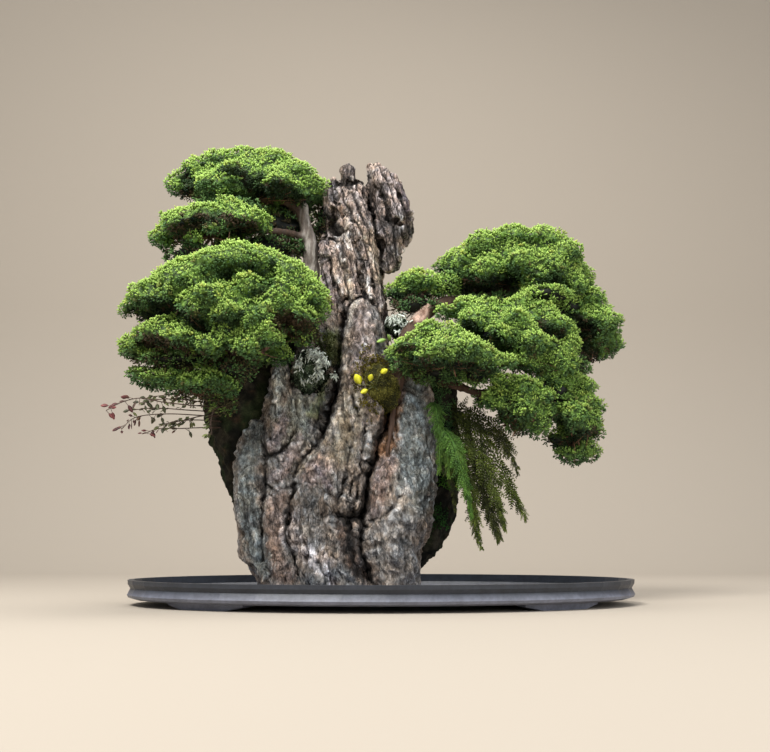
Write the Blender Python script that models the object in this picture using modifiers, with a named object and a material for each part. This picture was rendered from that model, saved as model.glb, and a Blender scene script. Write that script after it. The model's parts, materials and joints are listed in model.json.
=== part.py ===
"""Group of clipped junipers planted on a tall craggy stone, in a shallow oval tray.

Metres, +Z up, +X to the right from the front, and the front faces -Y. The origin is on the
ground under the middle of the tray.
"""

import math
import random

import bmesh
import bpy
from mathutils import Vector, noise
from mathutils.bvhtree import BVHTree

# Driving sizes
TRAY_LENGTH = 0.750
TRAY_DEPTH = 0.420
TRAY_SIDES = 40
TRAY_FLOOR = 0.0145
GAP = 0.0004
PAD_GAP = 0.0006
BLADE = 0.0009
STONE_VOXEL = 0.0046
STONE_FACES = 1950
STRATA_LEAN = math.radians(13.0)
PAD_VOXEL = 0.0065
TUFT_HEIGHT = 0.0110

# How far in from the widest outline, and how high: up the outside, over the rim, to the floor
TRAY_PROFILE = (
    (0.0460, 0.0075),
    (0.0120, 0.0088),
    (0.0020, 0.0118),
    (0.0000, 0.0155),
    (0.0046, 0.0248),
    (0.0008, 0.0308),
    (0.0002, 0.0365),
    (0.0082, 0.0365),
    (0.0110, 0.0250),
    (0.0240, 0.0145),
)
FOOT_FIRST = math.radians(33.0)
FOOT_LAST = math.radians(58.0)
FOOT_STEPS = 5
FOOT_TOP = 0.0095

# Each rib of the stone, foot first: x, y, z, half width, half depth
STONE_RIBS = {
    "central_fin": (
        (-0.067, -0.055, 0.000, 0.052, 0.045),
        (-0.070, -0.060, 0.066, 0.053, 0.042),
        (-0.075, -0.062, 0.122, 0.058, 0.040),
        (-0.073, -0.060, 0.173, 0.058, 0.036),
        (-0.048, -0.055, 0.224, 0.050, 0.030),
        (-0.034, -0.058, 0.283, 0.037, 0.030),
        (-0.030, -0.056, 0.344, 0.031, 0.028),
        (-0.025, -0.052, 0.398, 0.029, 0.026),
        (-0.028, -0.048, 0.434, 0.020, 0.022),
        (-0.032, -0.044, 0.458, 0.008, 0.012),
    ),
    "right_slab": (
        (0.018, -0.042, 0.000, 0.031, 0.040),
        (0.012, -0.050, 0.065, 0.039, 0.042),
        (0.018, -0.052, 0.123, 0.047, 0.042),
        (0.028, -0.048, 0.175, 0.053, 0.040),
        (0.034, -0.040, 0.225, 0.041, 0.034),
        (0.041, -0.034, 0.278, 0.033, 0.028),
        (0.044, -0.030, 0.324, 0.026, 0.020),
        (0.047, -0.028, 0.358, 0.012, 0.010),
    ),
    "left_slab": (
        (-0.140, -0.018, 0.000, 0.018, 0.038),
        (-0.158, -0.021, 0.036, 0.020, 0.040),
        (-0.177, -0.025, 0.072, 0.024, 0.040),
        (-0.189, -0.030, 0.123, 0.024, 0.040),
        (-0.193, -0.030, 0.181, 0.021, 0.038),
        (-0.193, -0.028, 0.226, 0.019, 0.030),
        (-0.188, -0.025, 0.256, 0.013, 0.020),
        (-0.182, -0.022, 0.275, 0.005, 0.008),
    ),
    "left_foot": (
        (-0.136, -0.044, 0.000, 0.029, 0.035),
        (-0.147, -0.048, 0.065, 0.026, 0.035),
        (-0.154, -0.048, 0.123, 0.026, 0.030),
        (-0.152, -0.045, 0.166, 0.025, 0.028),
        (-0.150, -0.040, 0.200, 0.014, 0.016),
    ),
    "left_column": (
        (-0.151, -0.035, 0.176, 0.021, 0.025),
        (-0.157, -0.045, 0.225, 0.019, 0.022),
        (-0.156, -0.045, 0.262, 0.018, 0.020),
        (-0.153, -0.042, 0.299, 0.013, 0.018),
        (-0.154, -0.038, 0.337, 0.012, 0.015),
        (-0.159, -0.034, 0.364, 0.009, 0.010),
        (-0.162, -0.032, 0.376, 0.005, 0.005),
    ),
    "left_shoulder": (
        (-0.122, -0.030, 0.140, 0.037, 0.030),
        (-0.118, -0.038, 0.211, 0.030, 0.030),
        (-0.116, -0.035, 0.263, 0.025, 0.028),
        (-0.116, -0.028, 0.309, 0.021, 0.022),
        (-0.116, -0.020, 0.348, 0.018, 0.020),
        (-0.109, -0.015, 0.387, 0.018, 0.020),
        (-0.099, -0.010, 0.432, 0.015, 0.016),
    ),
    "spire": (
        (-0.056, 0.010, 0.184, 0.068, 0.060),
        (-0.057, 0.010, 0.275, 0.067, 0.055),
        (-0.053, 0.010, 0.353, 0.065, 0.050),
        (-0.047, 0.008, 0.415, 0.056, 0.045),
        (-0.044, 0.006, 0.463, 0.048, 0.040),
        (-0.047, 0.004, 0.510, 0.047, 0.036),
        (-0.050, 0.003, 0.558, 0.044, 0.034),
        (-0.051, 0.002, 0.598, 0.038, 0.030),
        (-0.051, 0.000, 0.630, 0.030, 0.024),
        (-0.052, 0.000, 0.655, 0.021, 0.015),
    ),
    "spire_block": (
        (0.009, -0.010, 0.497, 0.008, 0.008),
        (0.010, -0.012, 0.519, 0.014, 0.014),
        (0.016, -0.014, 0.554, 0.025, 0.022),
        (0.018, -0.014, 0.594, 0.030, 0.026),
        (0.013, -0.012, 0.627, 0.030, 0.026),
        (0.003, -0.010, 0.655, 0.024, 0.022),
        (-0.008, -0.008, 0.672, 0.014, 0.014),
        (-0.013, -0.008, 0.682, 0.006, 0.006),
    ),
    "spire_link": (
        (-0.010, 0.006, 0.480, 0.016, 0.014),
        (-0.012, 0.004, 0.560, 0.022, 0.018),
        (-0.014, 0.002, 0.620, 0.020, 0.016),
        (-0.018, 0.000, 0.650, 0.012, 0.010),
    ),
    "spire_knob": (
        (-0.055, -0.004, 0.615, 0.017, 0.015),
        (-0.054, -0.006, 0.651, 0.013, 0.012),
        (-0.054, -0.006, 0.669, 0.012, 0.010),
        (-0.056, -0.006, 0.684, 0.006, 0.006),
    ),
    "spire_horn": (
        (-0.074, 0.000, 0.600, 0.014, 0.015),
        (-0.079, 0.000, 0.642, 0.010, 0.010),
        (-0.081, 0.000, 0.655, 0.008, 0.008),
        (-0.081, 0.000, 0.665, 0.004, 0.004),
    ),
    "spire_facet": (
        (-0.050, -0.016, 0.400, 0.024, 0.018),
        (-0.054, -0.022, 0.422, 0.026, 0.020),
        (-0.067, -0.024, 0.471, 0.024, 0.018),
        (-0.075, -0.022, 0.516, 0.020, 0.016),
        (-0.080, -0.018, 0.545, 0.014, 0.012),
        (-0.083, -0.012, 0.562, 0.006, 0.006),
    ),
    "spire_ridge": (
        (-0.008, -0.018, 0.415, 0.015, 0.018),
        (-0.015, -0.024, 0.487, 0.014, 0.016),
        (-0.026, -0.028, 0.549, 0.014, 0.015),
        (-0.038, -0.026, 0.598, 0.012, 0.013),
        (-0.047, -0.018, 0.632, 0.007, 0.007),
    ),
    "back_mass": (
        (-0.060, 0.035, 0.000, 0.086, 0.064),
        (-0.066, 0.035, 0.090, 0.120, 0.070),
        (-0.064, 0.035, 0.170, 0.121, 0.065),
        (-0.061, 0.030, 0.246, 0.112, 0.060),
        (-0.057, 0.025, 0.324, 0.094, 0.050),
        (-0.053, 0.020, 0.402, 0.057, 0.040),
    ),
    "back_left_rib": (
        (-0.128, 0.082, 0.000, 0.042, 0.032),
        (-0.132, 0.088, 0.090, 0.040, 0.030),
        (-0.122, 0.080, 0.200, 0.032, 0.026),
        (-0.110, 0.066, 0.290, 0.022, 0.018),
        (-0.102, 0.052, 0.345, 0.010, 0.010),
    ),
    "back_middle_rib": (
        (-0.052, 0.092, 0.000, 0.040, 0.036),
        (-0.046, 0.096, 0.120, 0.038, 0.032),
        (-0.052, 0.080, 0.260, 0.034, 0.030),
        (-0.050, 0.056, 0.380, 0.030, 0.026),
        (-0.054, 0.038, 0.480, 0.022, 0.018),
        (-0.052, 0.030, 0.560, 0.012, 0.010),
    ),
    "back_right_rib": (
        (0.016, 0.070, 0.000, 0.038, 0.032),
        (0.026, 0.076, 0.080, 0.036, 0.030),
        (0.016, 0.070, 0.180, 0.030, 0.028),
        (0.004, 0.060, 0.260, 0.020, 0.020),
        (-0.004, 0.050, 0.310, 0.010, 0.010),
    ),
}

# Clefts cut into the front of the stone: x, z, half width, half depth, from the top down
CLEFTS = (
    ((-0.025, 0.668, 0.004, 0.030), (-0.022, 0.645, 0.005, 0.026), (-0.015, 0.591, 0.006, 0.024),
     (-0.006, 0.540, 0.006, 0.022), (0.002, 0.483, 0.006, 0.020), (0.006, 0.430, 0.005, 0.016)),
    ((-0.057, 0.440, 0.005, 0.014), (-0.061, 0.372, 0.009, 0.026), (-0.068, 0.296, 0.010, 0.028),
     (-0.086, 0.237, 0.008, 0.022), (-0.101, 0.196, 0.005, 0.012)),
    ((0.016, 0.322, 0.008, 0.022), (0.000, 0.251, 0.009, 0.026), (-0.016, 0.193, 0.009, 0.026),
     (-0.028, 0.143, 0.011, 0.028), (-0.033, 0.094, 0.010, 0.026), (-0.022, 0.005, 0.009, 0.022)),
    ((-0.184, 0.266, 0.004, 0.010), (-0.170, 0.216, 0.007, 0.018), (-0.163, 0.168, 0.007, 0.018),
     (-0.173, 0.122, 0.006, 0.014), (-0.167, 0.066, 0.006, 0.014), (-0.152, 0.005, 0.006, 0.014)),
    ((-0.118, 0.200, 0.005, 0.012), (-0.132, 0.157, 0.008, 0.018), (-0.137, 0.115, 0.008, 0.018),
     (-0.127, 0.066, 0.006, 0.014), (-0.116, 0.005, 0.006, 0.012)),
    ((-0.018, 0.470, 0.004, 0.008), (-0.004, 0.440, 0.006, 0.014), (0.007, 0.395, 0.006, 0.016),
     (0.012, 0.350, 0.006, 0.016)),
    ((-0.135, 0.385, 0.005, 0.012), (-0.136, 0.320, 0.006, 0.016), (-0.134, 0.250, 0.006, 0.014),
     (-0.140, 0.205, 0.004, 0.010)),
    ((-0.080, 0.610, 0.006, 0.010), (-0.075, 0.585, 0.012, 0.018), (-0.070, 0.560, 0.010, 0.016),
     (-0.066, 0.540, 0.005, 0.008)),
    ((-0.047, 0.552, 0.004, 0.010), (-0.038, 0.498, 0.005, 0.012), (-0.030, 0.445, 0.004, 0.010)),
    ((-0.073, 0.512, 0.004, 0.010), (-0.058, 0.465, 0.005, 0.012), (-0.048, 0.420, 0.004, 0.010)),
    ((0.008, 0.640, 0.004, 0.010), (0.018, 0.584, 0.005, 0.012), (0.021, 0.545, 0.004, 0.010)),
    ((-0.046, 0.300, 0.004, 0.010), (-0.052, 0.236, 0.006, 0.012), (-0.046, 0.178, 0.006, 0.012),
     (-0.056, 0.130, 0.004, 0.008)),
    ((0.036, 0.270, 0.004, 0.010), (0.031, 0.207, 0.005, 0.012), (0.004, 0.164, 0.005, 0.012),
     (-0.008, 0.130, 0.004, 0.008)),
    ((-0.092, 0.172, 0.004, 0.008), (-0.088, 0.120, 0.006, 0.012), (-0.076, 0.070, 0.005, 0.012),
     (-0.070, 0.005, 0.005, 0.010)),
)
# Clefts that run more or less level: x, y, z, radius
NOTCHES = (
    ((-0.092, -0.022, 0.636, 0.0045), (-0.066, -0.022, 0.641, 0.0060), (-0.040, -0.022, 0.642, 0.0060),
     (-0.022, -0.022, 0.650, 0.0045)),
    ((-0.182, -0.068, 0.214, 0.0050), (-0.158, -0.072, 0.188, 0.0070), (-0.130, -0.078, 0.176, 0.0060)),
)

# Soil banked against the stone: x, y, z, half width, half depth
PEAT_LEFT = (
    (-0.181, 0.030, 0.110, 0.018, 0.022),
    (-0.189, 0.030, 0.150, 0.034, 0.040),
    (-0.198, 0.030, 0.190, 0.045, 0.050),
    (-0.209, 0.028, 0.235, 0.051, 0.056),
    (-0.217, 0.025, 0.284, 0.056, 0.060),
    (-0.213, 0.025, 0.331, 0.061, 0.062),
    (-0.200, 0.030, 0.371, 0.064, 0.056),
    (-0.176, 0.035, 0.401, 0.048, 0.040),
    (-0.160, 0.040, 0.416, 0.026, 0.024),
)
PEAT_RIGHT = (
    (0.052, 0.025, 0.052, 0.012, 0.016),
    (0.060, 0.025, 0.086, 0.029, 0.036),
    (0.068, 0.025, 0.131, 0.044, 0.048),
    (0.071, 0.025, 0.185, 0.046, 0.056),
    (0.074, 0.022, 0.246, 0.042, 0.058),
    (0.068, 0.020, 0.308, 0.046, 0.056),
    (0.056, 0.018, 0.355, 0.048, 0.050),
    (0.042, 0.018, 0.392, 0.032, 0.034),
)

# Limbs of each tree, foot first: x, y, z, radius
UPPER_TREE = (
    (
        (-0.124, 0.034, 0.318, 0.0200),
        (-0.121, 0.034, 0.362, 0.0190),
        (-0.115, 0.032, 0.405, 0.0175),
        (-0.110, 0.027, 0.450, 0.0158),
        (-0.110, 0.018, 0.500, 0.0142),
        (-0.115, 0.008, 0.551, 0.0126),
        (-0.123, 0.006, 0.590, 0.0110),
        (-0.145, 0.006, 0.616, 0.0082),
        (-0.180, 0.008, 0.630, 0.0066),
        (-0.209, 0.010, 0.641, 0.0048),
    ),
    (
        (-0.117, 0.008, 0.560, 0.0079),
        (-0.148, -0.012, 0.566, 0.0062),
        (-0.185, -0.032, 0.562, 0.0054),
        (-0.220, -0.048, 0.565, 0.0045),
        (-0.249, -0.054, 0.562, 0.0030),
    ),
    (
        (-0.124, 0.006, 0.588, 0.0079),
        (-0.121, 0.002, 0.610, 0.0063),
        (-0.130, 0.000, 0.631, 0.0045),
    ),
    (
        (-0.122, 0.036, 0.372, 0.0110),
        (-0.128, 0.064, 0.340, 0.0090),
        (-0.134, 0.088, 0.290, 0.0070),
        (-0.140, 0.104, 0.230, 0.0040),
    ),
)
LOWER_LEFT_TREE = (
    (
        (-0.182, 0.016, 0.300, 0.0160),
        (-0.202, -0.018, 0.333, 0.0140),
        (-0.217, -0.045, 0.354, 0.0119),
        (-0.229, -0.070, 0.378, 0.0090),
        (-0.236, -0.088, 0.408, 0.0060),
    ),
    (
        (-0.207, -0.028, 0.340, 0.0068),
        (-0.241, -0.052, 0.334, 0.0059),
        (-0.279, -0.074, 0.337, 0.0047),
        (-0.317, -0.084, 0.341, 0.0038),
        (-0.352, -0.092, 0.354, 0.0029),
    ),
    (
        (-0.216, -0.040, 0.351, 0.0060),
        (-0.180, -0.066, 0.366, 0.0052),
        (-0.148, -0.092, 0.390, 0.0035),
    ),
    (
        (-0.241, -0.052, 0.335, 0.0048),
        (-0.262, -0.086, 0.346, 0.0042),
        (-0.290, -0.104, 0.368, 0.0030),
    ),
)
RIGHT_TREE = (
    (
        (0.016, -0.052, 0.299, 0.0089),
        (0.024, -0.050, 0.341, 0.0134),
        (0.033, -0.045, 0.375, 0.0150),
        (0.046, -0.036, 0.407, 0.0144),
        (0.066, -0.024, 0.438, 0.0130),
        (0.098, -0.008, 0.456, 0.0108),
        (0.137, 0.008, 0.464, 0.0094),
        (0.180, 0.024, 0.476, 0.0079),
        (0.212, 0.030, 0.496, 0.0051),
    ),
    (
        (0.017, -0.053, 0.310, 0.0067),
        (0.014, -0.064, 0.271, 0.0053),
        (0.008, -0.070, 0.235, 0.0041),
        (0.002, -0.072, 0.200, 0.0028),
    ),
    (
        (0.062, -0.024, 0.434, 0.0060),
        (0.061, -0.016, 0.456, 0.0050),
        (0.054, -0.011, 0.476, 0.0035),
    ),
    (
        (0.042, -0.038, 0.398, 0.0080),
        (0.060, -0.070, 0.374, 0.0064),
        (0.079, -0.094, 0.361, 0.0050),
        (0.097, -0.108, 0.360, 0.0035),
    ),
    (
        (0.092, -0.012, 0.453, 0.0077),
        (0.130, -0.030, 0.421, 0.0061),
        (0.161, -0.046, 0.397, 0.0048),
        (0.184, -0.052, 0.389, 0.0036),
    ),
    (
        (0.168, 0.020, 0.470, 0.0066),
        (0.235, 0.038, 0.444, 0.0054),
        (0.290, 0.036, 0.430, 0.0046),
        (0.330, 0.032, 0.425, 0.0034),
    ),
    (
        (0.031, -0.044, 0.366, 0.0095),
        (0.072, -0.026, 0.341, 0.0091),
        (0.117, -0.026, 0.322, 0.0078),
        (0.158, -0.036, 0.306, 0.0066),
        (0.197, -0.050, 0.293, 0.0045),
    ),
    (
        (0.150, -0.033, 0.309, 0.0060),
        (0.208, -0.012, 0.326, 0.0055),
        (0.257, -0.008, 0.308, 0.0046),
        (0.293, -0.008, 0.284, 0.0034),
    ),
)

# Foliage pads: middle, half sizes of the core, and the lobes in front as x, y, z, radius
PADS = {
    "pad_right_front": (
        (0.091, -0.110, 0.361),
        (0.065, 0.032, 0.020),
        (
            (0.017, -0.110, 0.357, 0.016), (0.036, -0.120, 0.367, 0.019),
            (0.066, -0.110, 0.390, 0.022), (0.098, -0.110, 0.383, 0.022),
            (0.078, -0.142, 0.357, 0.021), (0.117, -0.137, 0.362, 0.021),
            (0.147, -0.119, 0.352, 0.020), (0.172, -0.110, 0.347, 0.016),
            (0.058, -0.129, 0.344, 0.017), (0.101, -0.120, 0.340, 0.017),
            (0.136, -0.110, 0.336, 0.014),
        ),
    ),
    "pad_right_middle": (
        (0.188, -0.050, 0.398),
        (0.081, 0.040, 0.040),
        (
            (0.095, -0.050, 0.432, 0.018), (0.125, -0.050, 0.439, 0.021),
            (0.158, -0.051, 0.437, 0.021), (0.204, -0.050, 0.445, 0.021),
            (0.238, -0.050, 0.433, 0.023), (0.258, -0.059, 0.413, 0.022),
            (0.134, -0.075, 0.412, 0.021), (0.189, -0.084, 0.414, 0.022),
            (0.170, -0.090, 0.388, 0.022), (0.215, -0.086, 0.382, 0.023),
            (0.254, -0.055, 0.374, 0.024), (0.269, -0.050, 0.358, 0.021),
            (0.238, -0.050, 0.350, 0.024), (0.201, -0.073, 0.358, 0.023),
            (0.252, -0.050, 0.339, 0.020), (0.272, -0.040, 0.386, 0.022),
            (0.124, -0.032, 0.348, 0.020), (0.152, -0.032, 0.344, 0.020),
            (0.150, -0.036, 0.370, 0.022), (0.124, -0.034, 0.372, 0.018),
        ),
    ),
    "pad_right_top": (
        (0.220, 0.030, 0.515),
        (0.108, 0.060, 0.058),
        (
            (0.122, 0.003, 0.524, 0.027), (0.158, -0.002, 0.547, 0.030),
            (0.204, -0.002, 0.558, 0.030), (0.251, -0.002, 0.556, 0.030),
            (0.284, -0.006, 0.535, 0.029), (0.316, 0.030, 0.498, 0.021),
            (0.211, -0.029, 0.513, 0.026), (0.258, -0.024, 0.507, 0.028),
            (0.161, -0.023, 0.503, 0.025), (0.234, -0.024, 0.488, 0.024),
            (0.292, -0.008, 0.490, 0.026), (0.133, -0.010, 0.502, 0.020),
            (0.136, 0.030, 0.488, 0.020), (0.170, 0.034, 0.484, 0.020),
        ),
    ),
    "pad_right_flank": (
        (0.336, 0.030, 0.425),
        (0.026, 0.045, 0.034),
        (
            (0.340, 0.030, 0.460, 0.022), (0.349, 0.001, 0.429, 0.024),
            (0.326, 0.024, 0.474, 0.020), (0.306, 0.000, 0.436, 0.018),
            (0.308, 0.028, 0.404, 0.020), (0.318, 0.020, 0.384, 0.018),
            (0.350, 0.017, 0.403, 0.024), (0.342, 0.030, 0.389, 0.021),
            (0.318, 0.014, 0.418, 0.020), (0.315, 0.030, 0.445, 0.021),
        ),
    ),
    "pad_right_inner": (
        (0.052, -0.010, 0.482),
        (0.028, 0.026, 0.014),
        (
            (0.027, -0.010, 0.470, 0.020), (0.047, -0.024, 0.486, 0.020),
            (0.072, -0.010, 0.491, 0.019), (0.040, -0.010, 0.468, 0.019),
            (0.078, -0.010, 0.474, 0.018),
        ),
    ),
    "pad_right_low": (
        (0.203, -0.055, 0.291),
        (0.033, 0.032, 0.028),
        (
            (0.176, -0.055, 0.322, 0.020), (0.200, -0.078, 0.316, 0.022),
            (0.229, -0.067, 0.301, 0.024), (0.168, -0.071, 0.296, 0.020),
            (0.198, -0.082, 0.280, 0.023), (0.226, -0.060, 0.264, 0.022),
            (0.197, -0.055, 0.258, 0.018), (0.242, -0.050, 0.280, 0.022),
        ),
    ),
    "pad_right_tip": (
        (0.296, -0.010, 0.277),
        (0.030, 0.038, 0.046),
        (
            (0.278, -0.014, 0.331, 0.024), (0.300, -0.010, 0.324, 0.024),
            (0.314, -0.010, 0.292, 0.023), (0.313, -0.010, 0.261, 0.022),
            (0.284, -0.048, 0.280, 0.024), (0.268, -0.020, 0.304, 0.023),
            (0.296, -0.010, 0.233, 0.022), (0.308, -0.010, 0.227, 0.018),
            (0.274, -0.010, 0.230, 0.019), (0.288, -0.010, 0.219, 0.018),
            (0.264, -0.010, 0.244, 0.017), (0.298, -0.040, 0.254, 0.020),
        ),
    ),
    "pad_top": (
        (-0.214, 0.010, 0.637),
        (0.100, 0.055, 0.045),
        (
            (-0.318, 0.010, 0.646, 0.024), (-0.293, 0.010, 0.672, 0.025),
            (-0.257, 0.010, 0.684, 0.027), (-0.215, 0.010, 0.687, 0.028),
            (-0.172, -0.000, 0.678, 0.028), (-0.138, -0.015, 0.655, 0.028),
            (-0.113, -0.006, 0.638, 0.026), (-0.259, -0.037, 0.631, 0.023),
            (-0.232, -0.035, 0.650, 0.023), (-0.161, -0.038, 0.630, 0.025),
            (-0.132, -0.024, 0.620, 0.020), (-0.182, 0.020, 0.614, 0.021),
            (-0.156, 0.024, 0.604, 0.019), (-0.208, 0.020, 0.616, 0.019),
        ),
    ),
    "pad_upper_left": (
        (-0.267, -0.055, 0.565),
        (0.072, 0.035, 0.022),
        (
            (-0.332, -0.055, 0.541, 0.020), (-0.304, -0.083, 0.554, 0.021),
            (-0.268, -0.082, 0.571, 0.022), (-0.232, -0.055, 0.590, 0.022),
            (-0.202, -0.063, 0.572, 0.020), (-0.249, -0.089, 0.553, 0.019),
            (-0.288, -0.072, 0.541, 0.018), (-0.220, -0.083, 0.562, 0.018),
            (-0.190, -0.050, 0.556, 0.016),
        ),
    ),
    "pad_left": (
        (-0.231, -0.100, 0.420),
        (0.128, 0.058, 0.092),
        (
            (-0.208, -0.137, 0.486, 0.033), (-0.175, -0.130, 0.486, 0.029),
            (-0.249, -0.143, 0.475, 0.030), (-0.291, -0.142, 0.458, 0.030),
            (-0.335, -0.131, 0.436, 0.027), (-0.362, -0.100, 0.425, 0.019),
            (-0.140, -0.129, 0.468, 0.029), (-0.116, -0.124, 0.446, 0.027),
            (-0.103, -0.117, 0.423, 0.023), (-0.193, -0.153, 0.444, 0.024),
            (-0.248, -0.156, 0.436, 0.027), (-0.308, -0.143, 0.434, 0.025),
            (-0.147, -0.145, 0.436, 0.025), (-0.268, -0.156, 0.409, 0.025),
            (-0.222, -0.160, 0.408, 0.026), (-0.174, -0.155, 0.403, 0.026),
            (-0.130, -0.140, 0.407, 0.025), (-0.315, -0.139, 0.381, 0.025),
            (-0.345, -0.110, 0.376, 0.020), (-0.282, -0.145, 0.370, 0.023),
            (-0.243, -0.149, 0.364, 0.023), (-0.191, -0.150, 0.366, 0.024),
            (-0.157, -0.146, 0.378, 0.023), (-0.115, -0.126, 0.390, 0.021),
            (-0.362, -0.100, 0.360, 0.017), (-0.335, -0.100, 0.358, 0.018),
        ),
    ),
    "pad_left_under": (
        (-0.285, -0.086, 0.325),
        (0.072, 0.028, 0.018),
        (
            (-0.354, -0.085, 0.331, 0.016), (-0.330, -0.100, 0.323, 0.018),
            (-0.303, -0.106, 0.318, 0.018), (-0.275, -0.108, 0.315, 0.018),
            (-0.247, -0.108, 0.318, 0.018), (-0.226, -0.096, 0.314, 0.017),
        ),
    ),
}
PAD_FACES = {
    "pad_right_front": 150,
    "pad_right_middle": 210,
    "pad_right_top": 270,
    "pad_right_flank": 110,
    "pad_right_inner": 70,
    "pad_right_low": 110,
    "pad_right_tip": 140,
    "pad_top": 240,
    "pad_upper_left": 130,
    "pad_left": 420,
    "pad_left_under": 110,
}

# Fern fronds: points along the midrib, the first inside the soil, and the half width
FRONDS = {
    "fern_frond_1": (
        ((0.088, -0.014, 0.286), (0.144, -0.045, 0.248), (0.181, -0.050, 0.184), (0.210, -0.048, 0.126)),
        0.030,
    ),
    "fern_frond_2": (
        ((0.096, 0.010, 0.300), (0.144, 0.006, 0.284), (0.184, 0.006, 0.250), (0.206, 0.004, 0.198)),
        0.026,
    ),
    "fern_frond_3": (
        ((0.088, -0.020, 0.252), (0.131, -0.074, 0.222), (0.158, -0.084, 0.170), (0.172, -0.082, 0.112)),
        0.028,
    ),
    "fern_frond_4": (
        ((0.094, 0.000, 0.254), (0.131, -0.024, 0.212), (0.153, -0.028, 0.154), (0.169, -0.026, 0.094)),
        0.028,
    ),
    "fern_frond_5": (
        ((0.084, -0.020, 0.220), (0.111, -0.096, 0.192), (0.126, -0.110, 0.144), (0.134, -0.110, 0.090)),
        0.024,
    ),
    "fern_frond_6": (
        ((0.080, -0.022, 0.262), (0.100, -0.112, 0.236), (0.109, -0.130, 0.188), (0.120, -0.132, 0.128)),
        0.022,
    ),
    "fern_frond_7": (
        ((0.066, -0.024, 0.300), (0.074, -0.076, 0.286), (0.076, -0.088, 0.252), (0.078, -0.090, 0.212)),
        0.016,
    ),
}
BRIGHT_FRONDS = ("fern_frond_6", "fern_frond_7")

# Trailing stems: points along each, the first inside the soil, then the count and half length of leaves
CREEPERS = {
    "creeper_stem_1": (
        ((-0.236, 0.002, 0.292), (-0.270, -0.095, 0.284), (-0.306, -0.140, 0.283),
         (-0.333, -0.160, 0.286), (-0.354, -0.175, 0.279), (-0.372, -0.186, 0.267)),
        6,
        0.0080,
    ),
    "creeper_stem_2": (
        ((-0.238, 0.002, 0.278), (-0.268, -0.078, 0.272), (-0.300, -0.112, 0.270),
         (-0.330, -0.132, 0.266), (-0.348, -0.144, 0.259), (-0.360, -0.152, 0.246)),
        6,
        0.0075,
    ),
    "creeper_stem_3": (
        ((-0.234, 0.002, 0.262), (-0.262, -0.060, 0.256), (-0.290, -0.086, 0.252),
         (-0.318, -0.104, 0.250), (-0.334, -0.114, 0.243)),
        5,
        0.0072,
    ),
    "creeper_stem_4": (
        ((-0.215, -0.006, 0.284), (-0.226, -0.066, 0.286), (-0.242, -0.088, 0.280),
         (-0.246, -0.098, 0.262), (-0.244, -0.102, 0.242)),
        6,
        0.0105,
    ),
}

# Small lumps of moss and lichen: middle, half sizes
MOSS_CUSHION = ((-0.001, -0.062, 0.308), (0.024, 0.030, 0.029))
LICHEN_LEFT = ((-0.111, -0.040, 0.342), (0.028, 0.030, 0.038))
LICHEN_RIGHT = ((0.028, -0.014, 0.414), (0.030, 0.028, 0.020))

# Broad-leaved seedling: root point, and each leaf as x, y, z
SEEDLING_ROOT = (0.002, -0.080, 0.306)
SEEDLING_FORK = (-0.013, -0.106, 0.309)
SEEDLING_LEAVES = (
    (-0.037, -0.107, 0.319),
    (-0.028, -0.110, 0.301),
    (-0.019, -0.108, 0.324),
    (0.000, -0.110, 0.333),
)

# Colour and roughness of each material
FINISHES = {
    "stoneware": ((0.050, 0.062, 0.078), 0.42),
    "rock": ((0.235, 0.215, 0.200), 0.85),
    "soil": ((0.022, 0.020, 0.014), 0.95),
    "bark_pale": ((0.300, 0.270, 0.240), 0.80),
    "bark_dark": ((0.130, 0.085, 0.062), 0.85),
    "bark_pink": ((0.330, 0.200, 0.150), 0.80),
    "juniper": ((0.110, 0.230, 0.030), 0.70),
    "fern": ((0.070, 0.110, 0.020), 0.60),
    "fern_bright": ((0.080, 0.270, 0.030), 0.60),
    "creeper": ((0.110, 0.030, 0.025), 0.60),
    "creeper_green": ((0.130, 0.150, 0.040), 0.60),
    "seedling": ((0.620, 0.600, 0.040), 0.50),
    "moss": ((0.090, 0.080, 0.015), 0.95),
    "lichen": ((0.300, 0.360, 0.300), 0.95),
}


def cleared_scene():
    """Empties the scene and gives back the two collections: the parts and the helpers."""
    for old in list(bpy.data.objects):
        bpy.data.objects.remove(old, do_unlink=True)
    parts = bpy.data.collections.new("juniper_group")
    helpers = bpy.data.collections.new("helpers")
    helpers.hide_render = True
    bpy.context.scene.collection.children.link(parts)
    bpy.context.scene.collection.children.link(helpers)
    return parts, helpers


PARTS, HELPERS = cleared_scene()
# Stouter twin of each tree, by name, for cutting the hollows that it sits in
STOUT = {}


def finish_named(name):
    """Material with plain colour and roughness."""
    found = bpy.data.materials.get(name)
    if found:
        return found
    colour, rough = FINISHES[name]
    made = bpy.data.materials.new(name)
    made.use_nodes = True
    made.diffuse_color = (*colour, 1.0)
    shader = made.node_tree.nodes["Principled BSDF"]
    shader.inputs["Base Color"].default_value = (*colour, 1.0)
    shader.inputs["Roughness"].default_value = rough
    return made


def helper(name, mesh):
    """Object in the helpers' collection."""
    obj = bpy.data.objects.new(name, mesh)
    obj.display_type = "WIRE"
    HELPERS.objects.link(obj)
    return obj


def from_bmesh(name, shape):
    """Helper object made from a bmesh, in triangles that face out."""
    bmesh.ops.triangulate(shape, faces=shape.faces[:])
    bmesh.ops.recalc_face_normals(shape, faces=shape.faces[:])
    mesh = bpy.data.meshes.new(name)
    shape.to_mesh(mesh)
    shape.free()
    return helper(name, mesh)


def part(obj, name, finish):
    """Makes a helper object a part of the model."""
    HELPERS.objects.unlink(obj)
    PARTS.objects.link(obj)
    obj.name = name
    obj.data.name = name
    obj.display_type = "TEXTURED"
    obj.data.materials.clear()
    obj.data.materials.append(finish_named(finish))
    for face in obj.data.polygons:
        face.material_index = 0
        face.use_smooth = False
    return obj


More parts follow.
